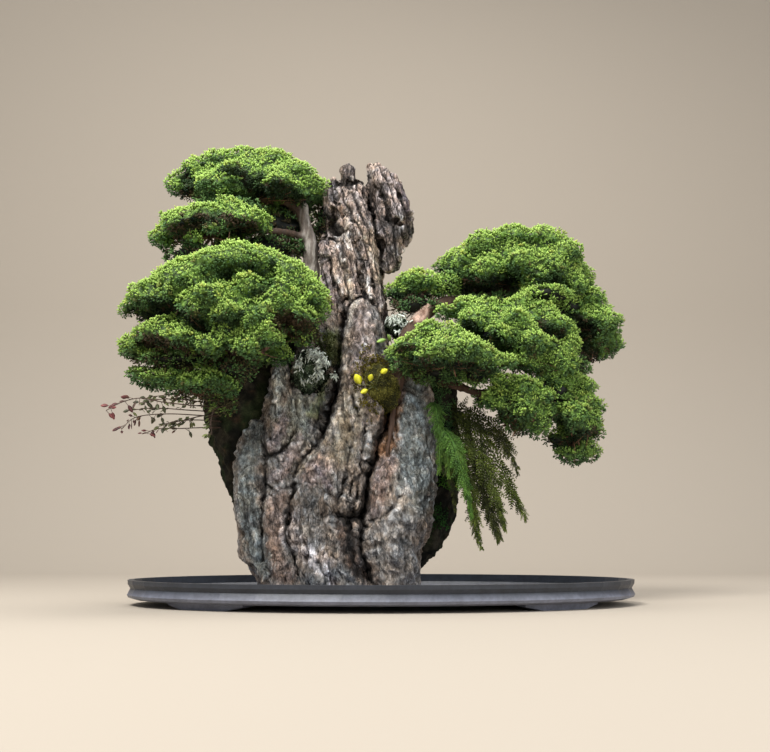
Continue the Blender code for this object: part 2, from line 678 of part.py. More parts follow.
def applied(obj):
    """Replaces the object's mesh with the one that its modifiers make."""
    bpy.context.view_layer.update()
    graph = bpy.context.evaluated_depsgraph_get()
    mesh = bpy.data.meshes.new_from_object(obj.evaluated_get(graph))
    obj.modifiers.clear()
    obj.data = mesh
    return obj


def volume_of(faces):
    """Signed volume inside a set of faces."""
    total = 0.0
    for face in faces:
        first = face.verts[0].co
        for a, b in zip(face.verts[1:], face.verts[2:]):
            total += first.dot(a.co.cross(b.co)) / 6.0
    return total


def largest_body(obj):
    """Keeps the biggest closed body of a mesh and drops loose scraps."""
    shape = bmesh.new()
    shape.from_mesh(obj.data)
    bmesh.ops.triangulate(shape, faces=shape.faces[:])
    left = set(shape.faces)
    bodies = []
    while left:
        seed = left.pop()
        body = {seed}
        waiting = [seed]
        while waiting:
            face = waiting.pop()
            for edge in face.edges:
                for other in edge.link_faces:
                    if other in left:
                        left.discard(other)
                        body.add(other)
                        waiting.append(other)
        bodies.append(body)
    keep = max(bodies, key=volume_of)
    spare = [face for face in shape.faces if face not in keep]
    bmesh.ops.delete(shape, geom=spare, context="FACES")
    shape.to_mesh(obj.data)
    shape.free()
    obj.data.update()
    return obj


def boolean(target, others, operation):
    """Joins the other objects to the target, or cuts them from it, and removes them."""
    group = bpy.data.collections.new("operands")
    HELPERS.children.link(group)
    for other in others:
        group.objects.link(other)
    change = target.modifiers.new("boolean", "BOOLEAN")
    change.operand_type = "COLLECTION"
    change.collection = group
    change.operation = operation
    change.solver = "MANIFOLD"
    applied(target)
    for other in others:
        bpy.data.objects.remove(other, do_unlink=True)
    bpy.data.collections.remove(group)
    return target


def swollen(obj, gap):
    """Copy of an object with its faces moved out by the gap, for cutting a clear hollow."""
    if obj.name in STOUT:
        return helper("swollen", STOUT[obj.name].data.copy())
    shape = bmesh.new()
    shape.from_mesh(obj.data)
    shape.normal_update()
    steps = []
    for vertex in shape.verts:
        lean = min(vertex.normal.dot(face.normal) for face in vertex.link_faces)
        steps.append(vertex.normal * (gap / max(0.4, lean)))
    for vertex, step in zip(shape.verts, steps):
        vertex.co += step
    mesh = bpy.data.meshes.new("swollen")
    shape.to_mesh(mesh)
    shape.free()
    return helper("swollen", mesh)


def near(one, other, reach):
    """Whether the boxes round two meshes come within reach of each other."""
    for axis in range(3):
        a = [vertex.co[axis] for vertex in one.data.vertices]
        b = [vertex.co[axis] for vertex in other.data.vertices]
        if min(a) > max(b) + reach or min(b) > max(a) + reach:
            return False
    return True


def cut_clear(obj, others, gap):
    """Cuts an object back to leave a gap round each of the others that it meets."""
    for other in others:
        if near(obj, other, gap):
            boolean(obj, [swollen(other, gap)], "DIFFERENCE")
    return largest_body(obj)


def ellipse(middle, half_width, half_depth, sides, turn=0.0):
    """Points round a level ellipse."""
    points = []
    for k in range(sides):
        angle = turn + 2.0 * math.pi * k / sides
        offset = Vector((half_width * math.cos(angle), half_depth * math.sin(angle), 0.0))
        points.append(Vector(middle) + offset)
    return points


def loft(name, rings):
    """Closed skin over rings of points, with an end cap at each end."""
    shape = bmesh.new()
    rows = [[shape.verts.new(point) for point in points] for points in rings]
    for low, high in zip(rows, rows[1:]):
        for k in range(len(low)):
            n = (k + 1) % len(low)
            shape.faces.new((low[k], low[n], high[n], high[k]))
    shape.faces.new(list(reversed(rows[0])))
    shape.faces.new(rows[-1])
    return from_bmesh(name, shape)


def ellipsoid(middle, half, under=1.0, detail=2):
    """Round body with its lower half flattened by a factor."""
    shape = bmesh.new()
    bmesh.ops.create_icosphere(shape, subdivisions=detail, radius=1.0)
    for vertex in shape.verts:
        x, y, z = vertex.co
        if z < 0.0:
            z *= under
        vertex.co = Vector(middle) + Vector((x * half[0], y * half[1], z * half[2]))
    return from_bmesh("ball", shape)


def merged(name, objects):
    """One helper mesh that holds all the objects' faces as they are."""
    shape = bmesh.new()
    for obj in objects:
        shape.from_mesh(obj.data)
        bpy.data.objects.remove(obj, do_unlink=True)
    mesh = bpy.data.meshes.new(name)
    shape.to_mesh(mesh)
    shape.free()
    return helper(name, mesh)


def voxelled(obj, size):
    """One skin round all the overlapping bodies in a mesh."""
    change = obj.modifiers.new("remesh", "REMESH")
    change.mode = "VOXEL"
    change.voxel_size = size
    applied(obj)
    return largest_body(obj)


def thinned(obj, faces):
    """Reduces a mesh to about this many triangles."""
    change = obj.modifiers.new("decimate", "DECIMATE")
    change.ratio = min(1.0, faces / max(1, len(obj.data.polygons)))
    applied(obj)
    return largest_body(obj)


def roughened(obj, height, waves, stretch, seed):
    """Moves the skin in and out by smooth noise, drawn out along the height."""
    shift = Vector((seed * 1.7, seed * 2.3, seed * 3.1))
    normals = [vertex.normal.copy() for vertex in obj.data.vertices]
    for vertex, normal in zip(obj.data.vertices, normals):
        x, y, z = vertex.co
        at = Vector((x * waves, y * waves, z * waves * stretch)) + shift
        vertex.co += normal * (height * noise.noise(at))
    obj.data.update()
    return obj


def smooth_path(points, steps):
    """Points along a smooth curve through the given points, of any number of values each."""
    ends = [points[0], *points, points[-1]]
    path = []
    for a, b, c, d in zip(ends, ends[1:], ends[2:], ends[3:]):
        for k in range(steps):
            t = k / steps
            row = []
            for p, q, r, s in zip(a, b, c, d):
                row.append(
                    0.5 * (2 * q + (r - p) * t + (2 * p - 5 * q + 4 * r - s) * t * t
                           + (3 * q - p - 3 * r + s) * t ** 3)
                )
            path.append(row)
    path.append(list(points[-1]))
    return path


def tube(name, path, bevel_steps):
    """Round bar along a path of x, y, z, radius, from a bevelled curve with filled ends."""
    curve = bpy.data.curves.new(name, "CURVE")
    curve.dimensions = "3D"
    curve.bevel_depth = 1.0
    curve.bevel_resolution = bevel_steps
    curve.use_fill_caps = True
    line = curve.splines.new("POLY")
    line.points.add(len(path) - 1)
    for point, (x, y, z, radius) in zip(line.points, path):
        point.co = (x, y, z, 1.0)
        point.radius = radius
    drawn = helper(name, curve)
    bpy.context.view_layer.update()
    graph = bpy.context.evaluated_depsgraph_get()
    mesh = bpy.data.meshes.new_from_object(drawn.evaluated_get(graph))
    bpy.data.objects.remove(drawn, do_unlink=True)
    shape = bmesh.new()
    shape.from_mesh(mesh)
    bmesh.ops.remove_doubles(shape, verts=shape.verts[:], dist=0.00001)
    return from_bmesh(name, shape)


def tree(name, limbs, seed, extra=0.0):
    """Trunk and branches of one tree, joined into one body, or a stouter one as a cutter."""
    rng = random.Random(seed)
    bars = []
    for limb in limbs:
        path = smooth_path(limb, 2)
        for row in path[1:-1]:
            wander = row[3] * 0.16
            for axis in range(3):
                row[axis] += rng.uniform(-wander, wander)
            row[3] *= rng.uniform(0.93, 1.07)
        if extra:
            for end, inner in ((0, 1), (-1, -2)):
                step = (Vector(path[end][:3]) - Vector(path[inner][:3])).normalized() * extra
                for axis in range(3):
                    path[end][axis] += step[axis]
            for row in path:
                row[3] += extra
        bars.append(tube("bar", path, 1 if limb[0][3] > 0.007 else 0))
    trunk = bars.pop(0)
    boolean(trunk, bars, "UNION")
    trunk.name = name
    return largest_body(trunk)


def tray():
    """Shallow oval tray with a lipped rim, a waisted side and four low feet."""
    rings = []
    for inset, height in TRAY_PROFILE:
        rings.append(
            ellipse((0.0, 0.0, height), TRAY_LENGTH / 2 - inset, TRAY_DEPTH / 2 - inset, TRAY_SIDES)
        )
    body = loft("tray", rings)
    feet = []
    for sign_x, sign_y in ((1, 1), (-1, 1), (-1, -1), (1, -1)):
        rows = []
        for k in range(FOOT_STEPS + 1):
            angle = FOOT_FIRST + (FOOT_LAST - FOOT_FIRST) * k / FOOT_STEPS
            low = 0.0 if 0 < k < FOOT_STEPS else 0.0055
            row = []
            for inset, height in ((0.0200, low), (0.0375, low), (0.0410, FOOT_TOP), (0.0170, FOOT_TOP)):
                row.append(
                    Vector((
                        sign_x * (TRAY_LENGTH / 2 - inset) * math.cos(angle),
                        sign_y * (TRAY_DEPTH / 2 - inset) * math.sin(angle),
                        height,
                    ))
                )
            rows.append(row)
        feet.append(loft("foot", rows))
    return boolean(body, feet, "UNION")


def stone():
    """Tall stone: leaning ribs grown together, with long steep ridges and a flat foot."""
    rng = random.Random(7)
    ribs = []
    for stations in STONE_RIBS.values():
        turn = rng.uniform(0.0, 1.0)
        rings = []
        for x, y, z, half_width, half_depth in stations:
            points = ellipse((x, y, z), half_width, half_depth, 9, turn)
            middle = Vector((x, y, z))
            rings.append([middle + (point - middle) * rng.uniform(0.90, 1.08) for point in points])
        ribs.append(loft("rib", rings))
    rock = voxelled(merged("rock", ribs), STONE_VOXEL)
    cutters = []
    skin = BVHTree.FromPolygons(
        [vertex.co for vertex in rock.data.vertices],
        [face.vertices[:] for face in rock.data.polygons],
    )
    for stations in CLEFTS:
        rings = []
        for x, z, half_width, half_depth in stations:
            hit = skin.ray_cast(Vector((x, -0.5, max(z, 0.02))), Vector((0.0, 1.0, 0.0)))[0]
            front = hit.y if hit else -0.03
            rings.append(ellipse((x, front + half_depth * 0.15, z), half_width, half_depth, 6))
        cutters.append(loft("cleft", rings))
    for stations in NOTCHES:
        cutters.append(tube("notch", stations, 0))
    boolean(rock, cutters, "DIFFERENCE")
    voxelled(rock, STONE_VOXEL)
    normals = [vertex.normal.copy() for vertex in rock.data.vertices]
    for vertex, normal in zip(rock.data.vertices, normals):
        x, y, z = vertex.co
        along = z * math.cos(STRATA_LEAN) - x * math.sin(STRATA_LEAN)
        across = x * math.cos(STRATA_LEAN) + z * math.sin(STRATA_LEAN)
        ridge = 1.0 - 2.2 * abs(noise.noise(Vector((across * 38.0, y * 38.0, along * 9.0))))
        crag = noise.noise(Vector((across * 64.0, y * 64.0, along * 30.0 + 5.0)))
        ledge = noise.noise(Vector((across * 22.0, y * 22.0, along * 26.0 + 9.0)))
        vertex.co += normal * (0.0040 * ridge + 0.0050 * crag + 0.0050 * ledge)
    rock.data.update()
    thinned(rock, STONE_FACES)
    box = bmesh.new()
    bmesh.ops.create_cube(box, size=1.0)
    for vertex in box.verts:
        vertex.co.z = TRAY_FLOOR + GAP if vertex.co.z > 0.0 else -0.2
    boolean(rock, [from_bmesh("floor_box", box)], "DIFFERENCE")
    return largest_body(rock)


def bank(name, stations, faces, seed):
    """Bank of dark soil, lumpy all over."""
    rings = [ellipse((x, y, z), w, d, 12) for x, y, z, w, d in stations]
    soil = voxelled(loft(name, rings), 0.0065)
    roughened(soil, 0.0090, 40.0, 0.8, seed)
    roughened(soil, 0.0060, 95.0, 1.0, seed + 4)
    return thinned(soil, faces)


def lump(name, place, faces, seed):
    """Small lumpy mound."""
    middle, half = place
    mound = ellipsoid(middle, half, 1.0, 4)
    roughened(mound, 0.009, 70.0, 1.0, seed)
    roughened(mound, 0.004, 160.0, 1.0, seed + 3)
    return thinned(mound, faces)


def tufted(obj, seed):
    """Raises the faces of a pad into small tufts, less in hollows and none underneath."""
    rng = random.Random(seed)
    shape = bmesh.new()
    shape.from_mesh(obj.data)
    shape.normal_update()
    plan = []
    skin = [face for face in shape.faces if face.normal.z > -0.45]
    for face in skin:
        centre = face.calc_center_median()
        hollow = 0.0
        for edge in face.edges:
            for other in edge.link_faces:
                if other is not face:
                    step = (other.calc_center_median() - centre).normalized()
                    hollow = max(hollow, step.dot(face.normal))
        lift = TUFT_HEIGHT * rng.uniform(0.7, 1.25) * max(0.15, 1.0 - 2.4 * hollow)
        lift = min(lift, 0.7 * math.sqrt(face.calc_area()))
        plan.append((face.normal + Vector((0.0, 0.0, 0.3))).normalized() * lift)
    poked = bmesh.ops.poke(shape, faces=skin)
    for vertex, step in zip(poked["verts"], plan):
        vertex.co += step
    shape.to_mesh(obj.data)
    shape.free()
    obj.data.update()
    return obj


def pad(name, seed):
    """Clipped foliage pad: a core under rounded lobes, its whole skin raised in tufts."""
    middle, half, lobes = PADS[name]
    rng = random.Random(seed)
    balls = [ellipsoid(middle, half, 0.55)]
    for x, y, z, radius in lobes:
        balls.append(ellipsoid((x, y, z), (radius, radius, radius * 0.88)))
        behind = middle[1] + (middle[1] - y) * rng.uniform(0.85, 1.1)
        if behind - y > 0.012:
            nudge = radius * 0.4
            at = (x + rng.uniform(-nudge, nudge), behind, z + rng.uniform(-nudge, nudge))
            balls.append(ellipsoid(at, (radius, radius, radius * 0.88)))
    body = voxelled(merged(name, balls), PAD_VOXEL)
    thinned(body, PAD_FACES[name])
    return tufted(body, seed)


def fern(name):
    """Hanging frond: a midrib with pairs of toothed leaflets, as one thin arched blade."""
    points, reach = FRONDS[name]
    path = [Vector(row) for row in smooth_path(points, 4)]
    last = len(path) - 1
    pairs = last - 2
    rng = random.Random(name)
    shape = bmesh.new()
    left = []
    right = []
    frames = []
    for k, at in enumerate(path):
        ahead = (path[min(k + 1, last)] - path[max(k - 1, 0)]).normalized()
        side = ahead.cross(Vector((0.10, -1.0, 0.20))).normalized()
        face = side.cross(ahead).normalized()
        if face.y > 0.0:
            face = -face
        frames.append((ahead, side, face))
        half = 0.0017 if k < last else 0.0009
        left.append(shape.verts.new(at - side * half))
        right.append(shape.verts.new(at + side * half))
    for k in range(last):
        shape.faces.new((left[k], right[k], right[k + 1], left[k + 1]))
    for k in range(last - pairs, last):
        share = (k - last + pairs) / (pairs - 1)
        length = reach * (0.60 + 0.40 * math.sin(math.pi * min(1.0, share * 1.7))) * (1.0 - 0.60 * share)
        ahead, side, face = frames[k]
        for sign, row in ((-1.0, left), (1.0, right)):
            out = side * sign
            long = length * rng.uniform(0.9, 1.1)
            middle = (row[k].co + row[k + 1].co) / 2
            sag = rng.uniform(0.04, 0.18)
            tip = middle + out * (long * 0.86) + ahead * (long * 0.62) - face * (long * sag)
            belly = middle + out * (long * 0.46) + ahead * (long * 0.02) + face * (long * 0.02)
            point = shape.verts.new(tip)
            swell = shape.verts.new(belly)
            corners = (row[k], swell, point, row[k + 1])
            shape.faces.new(corners if sign > 0 else tuple(reversed(corners)))
    bmesh.ops.triangulate(shape, faces=shape.faces[:])
    bmesh.ops.recalc_face_normals(shape, faces=shape.faces[:])
    mesh = bpy.data.meshes.new(name)
    shape.to_mesh(mesh)
    shape.free()
    blade = helper(name, mesh)
    change = blade.modifiers.new("solidify", "SOLIDIFY")
    change.thickness = BLADE
    change.offset = 0.0
    applied(blade)
    return largest_body(blade)


def creeper(name, seed):
    """Thin trailing stem with small leaves set alternately along it."""
    points, count, size = CREEPERS[name]
    rng = random.Random(seed)
    path = smooth_path([(*row, 0.0011) for row in points], 2)
    stem = tube(name, path, 0)
    track = [Vector(row[:3]) for row in smooth_path(points, 12)]
    leaves = []
    for k in range(count):
        share = 0.36 + 0.64 * k / (count - 1)
        index = min(len(track) - 2, int(share * (len(track) - 1)))
        at = track[index]
        ahead = (track[index + 1] - at).normalized()
        turn = math.pi * (k % 2) + rng.uniform(-0.5, 0.5)
        side = ahead.cross(Vector((0.0, 0.0, 1.0))).normalized()
        out = side * math.cos(turn) + Vector((0.0, 0.0, 0.55 * math.sin(k * 2.1) - 0.25))
        out = (out + ahead * 0.5).normalized()
        half = size * rng.uniform(0.8, 1.1)
        leaves.append(gem(at + out * (half - 0.0004), out, half, half * 0.62, 0.0009, rng))
    boolean(stem, leaves, "UNION")
    return largest_body(stem)


def gem(at, along, half_length, half_width, half_thick, rng):
    """Flat pointed leaf with four long sides above and four below."""
    flat = along.cross(Vector((rng.uniform(-0.5, 0.5), -1.0, rng.uniform(0.1, 0.8)))).normalized()
    up = along.cross(flat).normalized()
    shape = bmesh.new()
    bmesh.ops.create_uvsphere(shape, u_segments=4, v_segments=2, radius=1.0)
    for vertex in shape.verts:
        x, y, z = vertex.co
        vertex.co = at + along * (x * half_length) + flat * (y * half_width) + up * (z * half_thick)
    return from_bmesh("leaf", shape)


def seedling():
    """Young broad-leaved shoot: a forked stem with four rounded leaves."""
    rng = random.Random(5)
    root = Vector(SEEDLING_ROOT)
    fork = Vector(SEEDLING_FORK)
    stem = tube("stem", [(*root, 0.0012), (*fork, 0.0011), (*(fork + (fork - root) * 0.1), 0.0008)], 0)
    pieces = []
    for place in SEEDLING_LEAVES:
        at = Vector(place)
        along = (at - fork).normalized()
        pieces.append(tube("stalk", [(*(fork - along * 0.0006), 0.0008), (*at, 0.0008)], 0))
        shape = bmesh.new()
        bmesh.ops.create_uvsphere(shape, u_segments=6, v_segments=2, radius=1.0)
        side = along.cross(Vector((0.2, -1.0, 0.3))).normalized()
        up = along.cross(side).normalized()
        long = rng.uniform(0.0085, 0.0100)
        for vertex in shape.verts:
            x, y, z = vertex.co
            vertex.co = at + along * (x * long) + side * (y * 0.0062) + up * (z * 0.0010)
        pieces.append(from_bmesh("leaf", shape))
    boolean(stem, pieces, "UNION")
    return largest_body(stem)


def build():
    """Makes every part, with soft parts cut back from the firm ones that pass through them."""
    part(tray(), "tray", "stoneware")
    woods = []
    for name, limbs, seed in (
        ("upper_tree", UPPER_TREE, 11),
        ("lower_left_tree", LOWER_LEFT_TREE, 12),
        ("right_tree", RIGHT_TREE, 13),
    ):
        woods.append(tree(name, limbs, seed))
        STOUT[woods[-1].name] = tree(name + "_stout", limbs, seed, GAP * 1.5)
    fronds = [fern(name) for name in FRONDS]
    creepers = [creeper(name, 30 + k) for k, name in enumerate(CREEPERS)]
    shoot = seedling()

    banks = [bank("peat_left", PEAT_LEFT, 290, 4), bank("peat_right", PEAT_RIGHT, 290, 9)]
    lumps = [
        lump("moss_cushion", MOSS_CUSHION, 130, 2),
        lump("lichen_left", LICHEN_LEFT, 150, 6),
        lump("lichen_right", LICHEN_RIGHT, 120, 8),
    ]
    rock = stone()
    cut_clear(rock, [*banks, *lumps, *woods, *fronds, *creepers, shoot], GAP)
    for soil in banks:
        cut_clear(soil, [*lumps, *woods, *fronds, *creepers], GAP)
    for mound in lumps:
        cut_clear(mound, [*woods, shoot], GAP)

    pads = []
    for k, name in enumerate(PADS):
        body = pad(name, 50 + k)
        cut_clear(body, [*pads, rock, *banks, *lumps, *woods, *fronds, *creepers], PAD_GAP)
        body.name = name
        pads.append(body)

    part(rock, "stone", "rock")
    part(woods[0], "upper_tree", "bark_pale")
    part(woods[1], "lower_left_tree", "bark_dark")
    part(woods[2], "right_tree", "bark_pink")
    part(banks[0], "peat_left", "soil")
    part(banks[1], "peat_right", "soil")
    part(lumps[0], "moss_cushion", "moss")
    part(lumps[1], "lichen_left", "lichen")
    part(lumps[2], "lichen_right", "lichen")
    part(shoot, "yellow_seedling", "seedling")
    for name, body in zip(FRONDS, fronds):
        part(body, name, "fern_bright" if name in BRIGHT_FRONDS else "fern")
    for name, body in zip(CREEPERS, creepers):
        part(body, name, "creeper_green" if name == "creeper_stem_4" else "creeper")
    for name, body in zip(PADS, pads):
        part(body, name, "juniper")


build()
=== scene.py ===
"""Looks of a group of clipped junipers growing on a craggy stone in a shallow oval tray.

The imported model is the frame, in metres. Each piece here stands for one of its nodes, in its
place, or is a small growth between them, and all of them ride on the one body.
"""

import json
import math

import bmesh
import bpy
import numpy as np
from mathutils import Matrix, Vector

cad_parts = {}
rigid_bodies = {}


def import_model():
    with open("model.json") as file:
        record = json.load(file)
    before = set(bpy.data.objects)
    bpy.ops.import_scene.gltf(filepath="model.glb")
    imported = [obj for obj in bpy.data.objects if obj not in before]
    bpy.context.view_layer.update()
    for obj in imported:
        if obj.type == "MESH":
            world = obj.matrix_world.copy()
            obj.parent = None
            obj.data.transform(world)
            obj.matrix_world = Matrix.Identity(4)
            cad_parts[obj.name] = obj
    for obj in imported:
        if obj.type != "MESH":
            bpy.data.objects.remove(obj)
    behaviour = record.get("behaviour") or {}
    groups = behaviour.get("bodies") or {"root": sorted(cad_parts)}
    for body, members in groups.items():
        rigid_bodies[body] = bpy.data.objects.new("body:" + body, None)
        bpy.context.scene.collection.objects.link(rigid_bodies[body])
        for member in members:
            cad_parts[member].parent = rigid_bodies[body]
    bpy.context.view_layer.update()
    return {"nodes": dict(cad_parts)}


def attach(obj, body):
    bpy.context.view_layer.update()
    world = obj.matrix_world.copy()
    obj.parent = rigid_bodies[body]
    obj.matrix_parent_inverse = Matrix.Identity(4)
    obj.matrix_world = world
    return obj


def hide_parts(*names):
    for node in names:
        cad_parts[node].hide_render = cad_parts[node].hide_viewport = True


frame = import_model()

# Camera: place, aim above the horizon and to the right, and lens for a 36 mm wide picture
CAMERA_PLACE = (-0.0356, -1.592, 0.0995)
CAMERA_UP = 0.1513
CAMERA_RIGHT = 0.0251
CAMERA_LENS = 49.09

# Studio: where the lights face, then each light's place, size, power and colour
LIT_MIDDLE = (0.0, 0.0, 0.35)
LIGHTS = {
    "key": ((-0.9, -1.4, 2.3), 0.9, 84.0, (1.0, 0.98, 0.94)),
    "fill": ((1.9, -1.9, 1.1), 1.6, 26.0, (0.95, 0.97, 1.0)),
    "top": ((0.2, 0.2, 2.4), 1.2, 34.0, (1.0, 0.98, 0.95)),
}
FLOOR_COLOUR = (0.42, 0.37, 0.31)
WORLD_COLOUR = (0.84, 0.85, 0.86, 1.0)
WORLD_STRENGTH = 0.62

# Stone
STONE_VOXEL = 0.0030
STONE_FINE_VOXEL = 0.0021
STONE_FACES = 190000
STRATA_LEAN = math.radians(13.0)
PLATE = 0.0125
PLATE_LENGTH = 0.060
SPIRE_FOOT = 0.400
CLEFT_SPREAD = 1.5
CLEFT_DEEPER = 1.5
KNOB_MIDDLE = (-0.0540, -0.0050, 0.6650)
KNOB_HALF = (0.0138, 0.0130, 0.0150)
KNOB_SEAT = 0.652
KNOB_REACH = 0.021
KNOB_SQUASH = 0.25

# Foliage
PAD_VOXEL = 0.0045
CLUMP = 0.026
TUFT_SPACING = 0.0051
FINGERS = 6
FINGER_LENGTH = 0.0080
FINGER_WIDTH = 0.0012

# Colours, linear
LEAF_DEEP = (0.011, 0.025, 0.008)
LEAF_MIDDLE = (0.238, 0.430, 0.072)
LEAF_TIP = (0.450, 0.655, 0.140)
# Bluish green of tufts with little light: painted shade
LEAF_SHADE_BLUE = (0.095, 0.215, 0.085)
LEAF_OLD = (0.150, 0.100, 0.035)
LEAF_YELLOW = (0.520, 0.580, 0.100)
LEAF_DEAD = (0.075, 0.042, 0.022)
TWIG = (0.150, 0.085, 0.050)
FOLD_BROWN = (0.055, 0.030, 0.018)
# Near black painted shade in the folds of the pads
FOLD_SHADE = (0.006, 0.009, 0.004)
# Near black painted shade in the hearts of the loose sprays
HEART_SHADE = (0.005, 0.007, 0.004)
# Dark of the stone's hollows where rust lies: painted shade tinted with the rust
RUSTY_HOLLOW = (0.050, 0.024, 0.013)
WOOD_SHADE = (0.052, 0.026, 0.014)
TRAY_DARK = (0.026, 0.031, 0.042)
TRAY_PALE_LOW = (0.155, 0.165, 0.210)
PEAT_DARK = (0.006, 0.006, 0.004)
PEAT_PALE = (0.034, 0.030, 0.020)
PEAT_GREEN = (0.018, 0.034, 0.010)
PEAT_BROWN = (0.060, 0.035, 0.020)
CREEPER_STEM = (0.070, 0.040, 0.026)
# Dark colour of creeper leaves near their roots: painted shade
CREEPER_SHADE = (0.040, 0.046, 0.014)
SEEDLING_STEM = (0.080, 0.090, 0.020)
SEEDLING_YELLOW = (0.620, 0.600, 0.020)
SMALL_GREEN = (0.230, 0.360, 0.080)
LICHEN_THREAD = (0.920, 1.000, 0.900)
# Colours as low and high
FERN_DARK = ((0.030, 0.042, 0.006), (0.170, 0.225, 0.030))
FERN_BRIGHT = ((0.040, 0.100, 0.014), (0.125, 0.255, 0.036))
FERN_SHADED = ((0.020, 0.024, 0.006), (0.110, 0.130, 0.022))
FERN_FRESH = ((0.045, 0.100, 0.014), (0.150, 0.270, 0.036))
CREEPER_RED = ((0.050, 0.014, 0.015), (0.160, 0.038, 0.036))
CREEPER_GREEN = ((0.060, 0.080, 0.020), (0.190, 0.230, 0.060))
LOOSE_GREEN = ((0.030, 0.034, 0.012), (0.120, 0.130, 0.040))
# Colours as low, middle and high
MOSS = ((0.020, 0.020, 0.005), (0.100, 0.095, 0.019), (0.240, 0.225, 0.046))
LICHEN_SHADE = ((0.014, 0.022, 0.013), (0.075, 0.112, 0.064), (0.270, 0.330, 0.230))
# Warm and cool tints of the stone's patches, each with the level of the noise where it is full
ROCK_HUES = ((0.38, (1.11, 1.01, 0.92)), (0.62, (0.98, 1.05, 1.15)))
# Colours of the stone
ROCK = {
    "brown": (0.215, 0.180, 0.150),
    # Near black, for the stone's dark streaks and for its painted shade
    "dark": (0.024, 0.021, 0.019),
    "pale": (0.420, 0.385, 0.350),
    "purple": (0.105, 0.085, 0.100),
    "pink": (0.280, 0.205, 0.180),
    "pink_grey": (0.290, 0.235, 0.225),
    "fin": (0.255, 0.205, 0.188),
    "tan": (0.235, 0.205, 0.145),
    "tan_pale": (0.400, 0.320, 0.240),
    "umber": (0.190, 0.130, 0.100),
    "rust": (0.170, 0.085, 0.038),
    "rust_dark": (0.070, 0.042, 0.028),
    "crest": (0.400, 0.350, 0.285),
    "slab": (0.145, 0.168, 0.166),
    "boulder": (0.215, 0.205, 0.190),
    "pale_patch": (0.470, 0.430, 0.425),
    "pale_column": (0.380, 0.400, 0.360),
    "green_grey": (0.300, 0.310, 0.255),
    "face": (0.290, 0.230, 0.200),
    "facet": (0.460, 0.370, 0.320),
    "block": (0.180, 0.150, 0.142),
    "block_pale": (0.440, 0.380, 0.370),
    "knob": (0.165, 0.150, 0.155),
    "grey": (0.165, 0.165, 0.160),
    "quartz": (0.720, 0.650, 0.610),
    "spot": (0.620, 0.520, 0.470),
    # Lighter than the moss itself: painted light where the pads shade it
    "moss_pale": (0.440, 0.510, 0.250),
}

